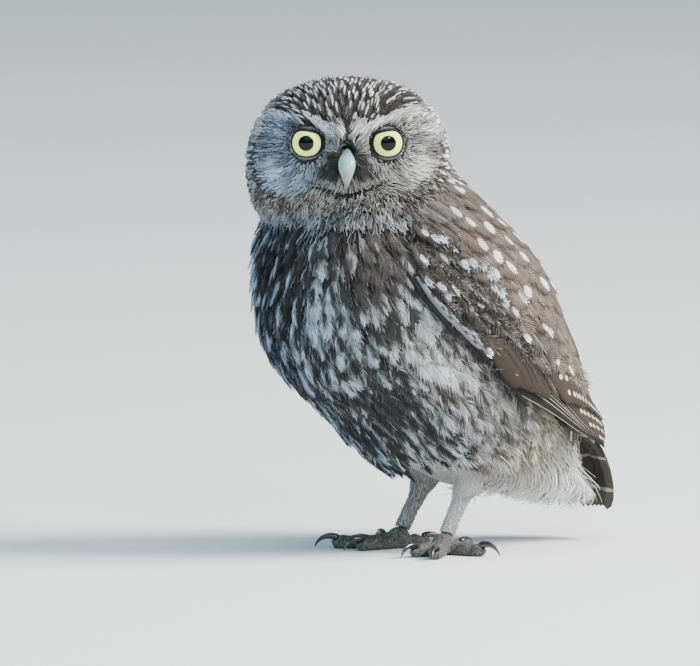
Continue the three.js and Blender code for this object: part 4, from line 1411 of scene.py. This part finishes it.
def wing_cover_spacing(points, normals):
    """Plain feathers between the spotted ones: large scapulars above, small coverts in front."""
    place, angle = wing_place(points)
    outer = (normals * unit(points - TRUNK_TOP - place[:, None] * ALONG)).sum(1) > 0.3
    scapular = (angle > 20 + 0.06 * (place - 60)) & (place > 12) & (place < 96)
    covert = (place < 97 + np.clip(angle - 18, 0, 29)) & (place > 12) & ~scapular
    small = mix(3.0, 4.0, smooth(20, 60, place))
    return np.where(outer, np.where(scapular, 6.5, np.where(covert, small, 0)), 0)


def wing_shade(points):
    """A rule for the ground colour of the wing's small feathers: brown, with ragged darks and fringes."""
    place, angle = wing_place(points)
    plain = smooth(14, 20, angle - 0.06 * (place - 60))
    shoulder = smooth(30, 12, place)
    jitter = chance.normal(0, 1, (2, len(points)))
    base = tint([plain, shoulder], [(0.058, 0.042, 0.034), (0.14, 0.103, 0.08), (0.13, 0.102, 0.092)])
    contrast = (1 - plain) * (1 - 0.75 * shoulder)

    def shade(across, along):
        u = across + 20 * jitter[0][:, None]
        v = along + place[:, None]
        hair = patchy(u / 0.9, v / 8, 4)
        tip = smooth(0.8, 1.0, along / np.maximum(along.max(1, keepdims=True), 1))
        dark = smooth(0.62, 0.42, hair) * contrast[:, None] * 0.93
        fringe = smooth(0.5, 0.7, hair) * tip * contrast[:, None] * 0.8
        made = base[:, None] * (0.9 + 0.12 * jitter[1][:, None, None] + 0.25 * (hair[..., None] - 0.5))
        made = mix(made, np.array((0.007, 0.0055, 0.005)), dark[..., None])
        return mix(made, np.array((0.52, 0.48, 0.44)), fringe[..., None])

    return shade


def wing_cover_look(points, spotted):
    """Scapulars and coverts: plain ones, and those that carry an oval or a pale tuft."""
    count = len(points)
    place, angle = wing_place(points)
    scapular = (angle > 17 + 0.06 * (place - 60)) * 1.0
    small = smooth(46, 18, place)
    tuft = spotted == 3
    scapular = np.where(spotted > 0, spotted == 1, scapular)
    length = mix(mix(15.0, 10.5, small), mix(26.0, 16.0, small), scapular) * vary(count, 0.9, 1.1)
    width = mix(mix(8.5, 6.0, small), mix(14.5, 9.5, small), scapular) * vary(count, 0.9, 1.1)
    length = np.where(spotted > 0, np.where(spotted == 1, *SPOTTED_LENGTHS), length)
    spotted = spotted > 0
    one, two = chance.random((2, count))
    streak = (~spotted) & (scapular < 0.5) & (two < 0.14) & (place > 28)
    half_wide = np.where(spotted, 0.3 * vary(count, 0.75, 1.15), np.where(streak, 0.2, 0.02))
    half_wide = np.where(tuft, vary(count, 0.25, 0.6), half_wide)
    half_long = np.where(spotted, mix(0.24, 0.175, scapular) * vary(count, 0.75, 1.2), 0.22)
    half_long = np.where(tuft, vary(count, 0.22, 0.42), half_long)
    side = np.where(points[:, 0] > 0, -1.0, 1.0)
    across = np.where(spotted, side * mix(0.15, 0.2, scapular), vary(count, -0.7, 0.7))
    mark = np.where(spotted[:, None], np.array((0.95, 0.94, 0.92)), np.array(ASH))
    mark = np.where(tuft[:, None], np.array((0.47, 0.53, 0.62)), mark)
    mark = mark * np.where(spotted, vary(count, 0.7, 1.0), 1.0)[:, None]
    rise = mix(2.4, mix(2.2, 1.2, smooth(46, 66, angle)), scapular) * vary(count, 0.85, 1.15) + 0.5 * spotted
    return look_of(
        count, length=length, width=width, rise=rise, sunk=0.3, camber=mix(0.5, 0.9, scapular),
        ragged=np.where(spotted & ~tuft, 0.25, mix(1.7, 0.25, scapular)), streaky=mix(0.2, 0.06, scapular),
        roll=chance.normal(0, 0.04, count), sway=chance.normal(0, 0.04, count),
        astray=mix(0.16, 0.04, scapular), mark=mark, puff=0.2,
        trait=np.stack([one, half_wide, half_long], 1),
        spot=np.stack([across, np.full(count, 0.78), np.zeros(count)], 1),
    )


def wing_cover_roots(wing, mirror):
    """Roots of the plain feathers, then of scapulars (1), coverts (2) and tufts (3) that have a set place."""
    points, normals = wing.scatter(wing_cover_spacing)
    spots = np.array(SCAPULAR_SPOTS + COVERT_SPOTS + COVERT_TUFTS, float)
    lengths = np.where(np.arange(len(spots)) < len(SCAPULAR_SPOTS), *SPOTTED_LENGTHS)
    places = wing_point(spots[:, 0] - 0.78 * lengths, spots[:, 1] * DEG, np.full(len(spots), -2.0))
    if mirror:
        places = places * [-1, 1, 1]
    set_points, set_normals = wing.settle(places)
    spotted = np.zeros(len(points) + len(spots))
    spotted[len(points):] = 2
    spotted[len(points):len(points) + len(SCAPULAR_SPOTS)] = 1
    spotted[len(spotted) - len(COVERT_TUFTS):] = 3
    return (np.concatenate([points, set_points]), np.concatenate([normals, set_normals])), spotted


for wing_side, mirror in (("left", False), ("right", True)):
    bed_points, bed_faces = wing_bed(mirror)
    # The bed takes the near-black down paint, painted shade under the wing's feathers.
    bed = piece_from(f"wing_{wing_side}_body", bed_points, bed_faces, skin_mesh.materials[0])
    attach(bed, "root")
    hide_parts(f"wing_{wing_side}")
    laid = [feather for tier in WING_TIERS for feather in tier_feathers(*tier)]
    long_feathers = lay_vanes(f"wing_{wing_side}_long_feathers", laid, on_wing, wing_chart, mirror)
    wing = Surface(bed_points, bed_faces)
    roots, spotted = wing_cover_roots(wing, mirror)
    look = wing_cover_look(roots[0], spotted)
    shade = wing_shade(roots[0])
    name = f"wing_{wing_side}_coverts"
    for piece in grow(name, wing, wing_lie, roots, look, COVERT_PLUME, coat, wing_chart, 4, shade):
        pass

TAIL_MIDDLE = 18.0


def on_tail(one, across, along, wide):
    """A tail feather's points: the outer ones lie lower, and all sag towards the tip."""
    out = one["out"]
    over = 8.0 - 5.0 * abs(out) ** 1.3
    sag = 8 * np.clip(0.5 - along, 0, 1) + 44 * np.clip(along - 0.5, 0, 1) ** 2
    spread = out * mix(5.5, 8.8, along**0.7)
    camber = 0.3 * (1 - across**2) - 0.3 * across * np.sign(out)
    place = 146 + one["length"] * along
    return trunk_point(place, TAIL_MIDDLE + over + camber - sag, spread + across * wide)


tail_feathers = []
for i in range(12):
    out = (i + 0.5) / 12 * 2 - 1
    tail_feathers.append(dict(
        out=out, length=54 - 3.5 * abs(out), width=11, blunt=0.16,
        ground=(0.1, 0.077, 0.061), mark=(0.5, 0.47, 0.43), trait=(i * 2.9, 1.3, 0.06),
        spot=(0.0, 0.745, 4.0),
    ))
tail = lay_vanes("tail_feathers", tail_feathers, on_tail, skin_chart, False)
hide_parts("tail")


# Eyes, lids, bill, feet and claws

def eye_paint():
    """A pale yellow iris round a black pupil, under a wet clear coat."""
    paint = Paint("eye", Roughness=0.5, Specular_IOR_Level=0.0, Coat_Weight=0.5, Coat_Roughness=0.015)
    x, _, z = paint.parts(paint.attribute("gaze", "Vector"))
    reach = (x * x + z * z).sum("SQRT")
    fibre = paint.noise(paint.vector(x / (reach + 0.4), z / (reach + 0.4), reach * 0.05), 9.0, 3.0)
    ring = reach + (fibre - 0.5) * 0.25
    iris = paint.ramp(
        (ring - 3.1) / 2.95, (0.0, (0.45, 0.50, 0.04)), (0.12, (0.85, 0.92, 0.14)),
        (0.6, (0.95, 1.0, 0.3)), (0.9, (0.85, 0.92, 0.16)), (1.0, (0.35, 0.37, 0.05)),
    )
    iris = paint.lit(iris, 0.95 + fibre * 0.2)
    pupil = 1 - paint.step(reach, 3.08, 3.22)
    colour = paint.blend(pupil, iris, (0.001, 0.0015, 0.002))
    colour = paint.blend(paint.step(reach, 5.9, 6.1), colour, (0.004, 0.004, 0.005))
    return paint.finish(colour)


def fresh(name, material, add, **size):
    """A primitive added on its own, with its name and material."""
    bpy.ops.object.select_all(action="DESELECT")
    add(**size)
    piece = bpy.context.object
    piece.name = name
    piece.data.name = name
    piece.data.materials.clear()
    piece.data.materials.append(material)
    return piece


def head_place(points, side):
    """Points of an eye's own frame, in the owl's frame."""
    swung = turned(np.asarray(points, float), side * EYE_OUTWARD)
    return from_head(swung + EYE_PLACE * [side, 1, 1])


def reshape(piece, move):
    """Moves a piece's points by a rule on their places, in millimetres."""
    mesh = piece.data
    set_points(mesh, move(triples(mesh.vertices, "co") / MM))
    mesh.update()


def face_outwards():
    """Turns the faces of the piece in edit mode outwards, and leaves edit mode."""
    bpy.ops.mesh.select_all(action="SELECT")
    bpy.ops.mesh.normals_make_consistent(inside=False)
    bpy.ops.object.mode_set(mode="OBJECT")


eye_material = eye_paint()


def make_eye(side, name):
    sphere = bpy.ops.mesh.primitive_uv_sphere_add
    piece = fresh(name, eye_material, sphere, segments=64, ring_count=48, radius=EYE_RADIUS * MM)

    def move(own):
        ahead = np.stack([own[:, 0], -own[:, 2], own[:, 1]], 1)
        give(piece.data, "gaze", ahead)
        return head_place(ahead, side)

    reshape(piece, move)
    piece.data.shade_smooth()
    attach(piece, "root")
    return piece


def lid_paint():
    """Blackish lid edges, with grey down beyond them."""
    paint = Paint("lid_skin", Roughness=0.6, Specular_IOR_Level=0.2)
    grain = paint.noise(paint.place(), 2600.0, 3.0)
    black = paint.ramp(grain, (0.3, (0.003, 0.003, 0.005)), (0.75, (0.012, 0.012, 0.016)))
    down = paint.ramp(grain, (0.35, (0.05, 0.05, 0.054)), (0.7, (0.24, 0.24, 0.25)))
    beyond = paint.step(paint.attribute("rim", "Fac") + (grain - 0.5) * 0.8, 0.9, 1.5)
    return paint.finish(paint.blend(beyond, black, down), None, grain, 0.5, 0.0003)


lid_material = lid_paint()
LID_RING = 6.2


def make_lids(side, name):
    """Dark lids as one soft ring on the eyeball: the upper one cuts the iris, lower towards the bill."""
    sizes = dict(major_segments=72, minor_segments=16, major_radius=LID_RING * MM, minor_radius=0.5 * MM)
    piece = fresh(name, lid_material, bpy.ops.mesh.primitive_torus_add, **sizes)

    def move(own):
        turn = np.arctan2(own[:, 1], own[:, 0])
        out = np.clip((np.hypot(own[:, 0], own[:, 1]) - LID_RING) * 2, -1, 1)
        deep = own[:, 2] * 2
        outward = np.cos(turn) * side
        top = (4.8 + 0.8 * outward) / np.maximum(np.sin(turn), 0.05)
        low = 5.8 / np.maximum(-np.sin(turn), 0.05)
        inner = (5.8 ** -8.0 + top ** -8.0 + low ** -8.0) ** (-1 / 8)
        line = 0.34 + 0.62 * np.clip(np.sin(turn), 0, 1) + 0.5 * np.clip(-outward, 0, 1) ** 3
        reach = mix(inner, 7.3, (out + 1) / 2)
        give(piece.data, "rim", ((reach - inner) / line)[:, None])
        high = EYE_RADIUS + 0.12 + 0.34 * deep * (1 - 0.3 * out)
        slope = np.arcsin(np.clip(reach / EYE_RADIUS, 0, 0.99))
        aside = high * np.sin(slope)
        swung = np.stack([aside * np.cos(turn), -high * np.cos(slope), aside * np.sin(turn)], 1)
        return head_place(swung, side)

    reshape(piece, move)
    piece.data.shade_smooth()
    bpy.ops.object.mode_set(mode="EDIT")
    face_outwards()
    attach(piece, "root")
    return piece


for side, word in ((1, "left"), (-1, "right")):
    eye = make_eye(side, f"eyeball_{word}")
    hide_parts(f"eye_{word}")
    make_lids(side, f"lids_{word}")


def ring_at(centre, tangent, side_way, across, deep, sides):
    """Points of an oval round a line."""
    across_way = unit(side_way - (side_way @ tangent) * tangent)
    deep_way = np.cross(tangent, across_way)
    turn = np.arange(sides) / sides * 2 * math.pi
    return centre + across * np.cos(turn)[:, None] * across_way + deep * np.sin(turn)[:, None] * deep_way


def drawn_out(name, stations, side_way, sides, material, levels):
    """A tapering piece drawn out ring by ring from a first ring, then smoothed."""
    tangents = unit(np.gradient(np.array([station[0] for station in stations], float), axis=0))
    rings = [
        [Vector((place + SHIFT) * MM) for place in ring_at(centre, tangent, side_way, across, deep, sides)]
        for (centre, across, deep), tangent in zip(stations, tangents)
    ]
    circle = bpy.ops.mesh.primitive_circle_add
    piece = fresh(name, material, circle, vertices=sides, radius=MM, fill_type="NGON")
    bpy.ops.object.mode_set(mode="EDIT")
    shape = bmesh.from_edit_mesh(piece.data)
    for vert, place in zip(shape.verts, rings[0]):
        vert.co = place
    bmesh.update_edit_mesh(piece.data)
    for previous, ring in zip(rings, rings[1:]):
        bpy.ops.mesh.extrude_region_move()
        shape = bmesh.from_edit_mesh(piece.data)
        for vert in shape.verts:
            if vert.select:
                vert.co = ring[min(range(sides), key=lambda i: (previous[i] - vert.co).length_squared)]
        bmesh.update_edit_mesh(piece.data)
    face_outwards()
    finer = piece.modifiers.new("finer", "SUBSURF")
    finer.levels = finer.render_levels = levels
    bpy.ops.object.modifier_apply(modifier="finer")
    piece.data.shade_smooth()
    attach(piece, "root")
    return piece


def bill_paint():
    """Horn, slate above, greenish and yellow towards the tip, whose lowest part is darkened with painted
    shade.
    """
    paint = Paint("bill_horn", Roughness=0.32, Specular_IOR_Level=0.5, Coat_Weight=0.3, Coat_Roughness=0.15)
    _, _, height = paint.parts(paint.place())
    grain = paint.noise(paint.place(), 420.0, 3.0)
    drawn = paint.node("ShaderNodeMapping", None, {"Vector": paint.place(), "Scale": (1, 1, 0.15)})
    lines = paint.noise(drawn, 1500.0, 2.0)
    share = (height - 0.1525) / 0.0165 + (grain - 0.5) * 0.25
    # The lowest stop darkens the tip: partly its own olive colour, partly painted shade.
    horn = paint.ramp(
        share, (0.0, (0.09, 0.09, 0.05)), (0.3, (0.22, 0.24, 0.16)), (0.6, (0.25, 0.31, 0.32)),
        (0.85, (0.21, 0.28, 0.35)), (1.0, (0.11, 0.135, 0.16)),
    )
    return paint.finish(paint.lit(horn, 0.8 + grain * 0.4), 0.3 + grain * 0.2, lines, 0.15, 0.0002)


bill_material = bill_paint()


def head_stations(rows):
    """Stations from (forward, height, half width, half depth) in the head's middle plane."""
    return [(from_head([0, y, z]), across, deep) for y, z, across, deep in rows]


HEAD_SIDE = turned(SIDE, HEAD_TURN)
upper_bill = drawn_out("bill_upper_horn", head_stations([
    (-24, 8.4, 1.4, 1.9), (-29, 8.8, 1.5, 2.0), (-32.5, 8.7, 1.8, 2.2), (-35.2, 7.8, 2.6, 2.6),
    (-37.4, 5.9, 3.8, 3.0), (-39.0, 3.2, 3.5, 2.8), (-39.8, 0.7, 2.6, 2.2), (-39.8, -1.9, 1.6, 1.45),
    (-39.3, -4.0, 0.85, 0.8), (-38.6, -5.6, 0.25, 0.25),
]), HEAD_SIDE, 16, bill_material, 2)
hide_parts("bill_upper")
lower_bill = drawn_out("bill_lower_horn", head_stations([
    (-25, 2.6, 3.3, 2.0), (-30, 2.6, 3.2, 2.2), (-34.2, 2.2, 2.8, 2.5), (-36.6, 0.9, 2.3, 2.2),
    (-37.8, -0.9, 1.6, 1.5), (-38.2, -2.4, 0.7, 0.6),
]), HEAD_SIDE, 16, bill_material, 2)
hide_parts("bill_lower")


def toe_paint():
    """Rough dark skin of the toes, with small scales and pads."""
    paint = Paint("toe_skin", Roughness=0.75, Specular_IOR_Level=0.35)
    cells = paint.node("ShaderNodeTexVoronoi", {"feature": "F1"}, {"Vector": paint.place(), "Scale": 1150.0})
    grain = paint.noise(paint.place(), 700.0, 4.0)
    scales = [(0.2, (0.045, 0.041, 0.038)), (0.5, (0.12, 0.108, 0.098)), (0.8, (0.28, 0.26, 0.235))]
    colour = paint.ramp(grain * 0.6 + (0.6 - cells) * 0.55, *scales)
    return paint.finish(colour, None, (1 - cells) + grain * 0.4, 0.9, 0.0005)


def claw_paint():
    paint = Paint("claw_horn", Roughness=0.22, Specular_IOR_Level=0.6, Coat_Weight=0.5, Coat_Roughness=0.12)
    grain = paint.noise(paint.place(), 500.0, 3.0)
    horn = paint.ramp(grain, (0.3, (0.006, 0.006, 0.008)), (0.8, (0.03, 0.028, 0.032)))
    return paint.finish(horn, 0.16 + grain * 0.16, grain, 0.1, 0.0001)


toe_material = toe_paint()
claw_material = claw_paint()
FOOT_CENTRE = np.array([16.0, -2.0, 0.0])
# Heading in degrees and length of each toe, as on the solids.
TOES = {
    "left": [(196, 13), (14, 19), (46, 24), (115, 19)],
    "right": [(190, 13), (-3, 21), (33, 27), (104, 19)],
}
# A claw starts near its toe's end and bends down along an arc.
CLAW_OVERLAP, CLAW_HEIGHT = 2.2, 4.1
CLAW_ARC, CLAW_START, CLAW_END = 6.4, 34, -74

for side, word in ((1, "left"), (-1, "right")):
    foot = remeshed(joined_copy(f"toes_{word}", [f"foot_{word}"], 0.0), 0.00045, 5)
    foot.data.materials.append(toe_material)
    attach(foot, "root")
    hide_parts(f"foot_{word}")
    for number, (heading, length) in enumerate(TOES[word]):
        forward = np.array([side * math.sin(heading * DEG), -math.cos(heading * DEG), 0])
        start = FOOT_CENTRE * [side, 1, 1] + forward * (length - CLAW_OVERLAP) + [0, 0, CLAW_HEIGHT]
        stations = []
        for share in np.linspace(0, 1, 11):
            bend = mix(CLAW_START, CLAW_END, share) * DEG
            place = start + forward * CLAW_ARC * (math.sin(CLAW_START * DEG) - math.sin(bend))
            place = place + np.array([0, 0, CLAW_ARC]) * (math.cos(bend) - math.cos(CLAW_START * DEG))
            size = 1.65 * (1 - share) ** 0.75 + 0.1
            stations.append((place, size * 0.86, size))
        aside = np.cross(forward, [0, 0, 1.0])
        claw = drawn_out(f"talon_{word}_{number + 1}", stations, aside, 12, claw_material, 1)
        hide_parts(f"claw_{word}_{number + 1}")


# Camera, floor and light

def look_from(azimuth, elevation):
    """The way towards the viewer, and the viewer's right and up."""
    a, e = azimuth * DEG, elevation * DEG
    toward = Vector((math.sin(a) * math.cos(e), -math.cos(a) * math.cos(e), math.sin(e)))
    right = Vector((math.cos(a), math.sin(a), 0))
    return toward, right, toward.cross(right)


def aimed(name, data, place, toward):
    """A camera or lamp at a place, looking against a way."""
    made = linked(name, data)
    made.location = place
    made.rotation_euler = (-toward).to_track_quat("-Z", "Y").to_euler()
    return made


# The picture's size, the pixel where the owl's origin shows, and millimetres in a pixel.
PICTURE_WIDTH, PICTURE_HEIGHT = 700, 666
ORIGIN_ACROSS, ORIGIN_DOWN = 425, 551
PER_PIXEL = 0.41
SENSOR = 36
DISTANCE = 8000.0
toward, right, up = look_from(55, 5)
aim = right * (PICTURE_WIDTH / 2 - ORIGIN_ACROSS) * PER_PIXEL
aim = aim + up * (ORIGIN_DOWN - PICTURE_HEIGHT / 2) * PER_PIXEL
camera_data = bpy.data.cameras.new("camera")
camera_data.sensor_width = SENSOR
camera_data.lens = SENSOR * DISTANCE / (PICTURE_WIDTH * PER_PIXEL)
camera_data.clip_end = 100
camera_place = (aim + Vector(SHIFT)) * MM + toward * DISTANCE * MM
bpy.context.scene.camera = aimed("camera", camera_data, camera_place, toward)

floor_paint = Paint("floor_pale", Base_Color=(0.78, 0.79, 0.76, 1), Roughness=0.9, Specular_IOR_Level=0.1)
floor = fresh("floor", floor_paint.material, bpy.ops.mesh.primitive_plane_add, size=30)

# Each soft light: azimuth and elevation in degrees, distance and size in metres, watts and colour.
LIGHTS = {
    "key": (132, 38, 3.2, 1.8, 330, (1.0, 0.96, 0.9)),
    "top": (70, 72, 3.2, 2.4, 60, (0.97, 0.98, 1.0)),
    "left_fill": (-30, 12, 3.4, 2.2, 52, (0.32, 0.6, 1.0)),
    "eye_glow": (50, 34, 3.2, 2.6, 30, (0.3, 0.95, 0.85)),
    "catch": (70, 28, 3.0, 0.5, 22, (0.95, 1.0, 1.0)),
}
for name, (azimuth, elevation, away, size, power, colour) in LIGHTS.items():
    lamp = bpy.data.lights.new(name, "AREA")
    lamp.shape = "DISK"
    lamp.size = size
    lamp.energy = power
    lamp.color = colour
    way, _, _ = look_from(azimuth, elevation)
    aimed(name, lamp, Vector((0, 0, 0.1)) + way * away, way)

world = bpy.data.worlds.new("sky")
world.use_nodes = True
sky = world.node_tree.nodes["Background"]
sky.inputs[0].default_value = (0.56, 0.74, 1.0, 1)
sky.inputs[1].default_value = 0.5
bpy.context.scene.world = world
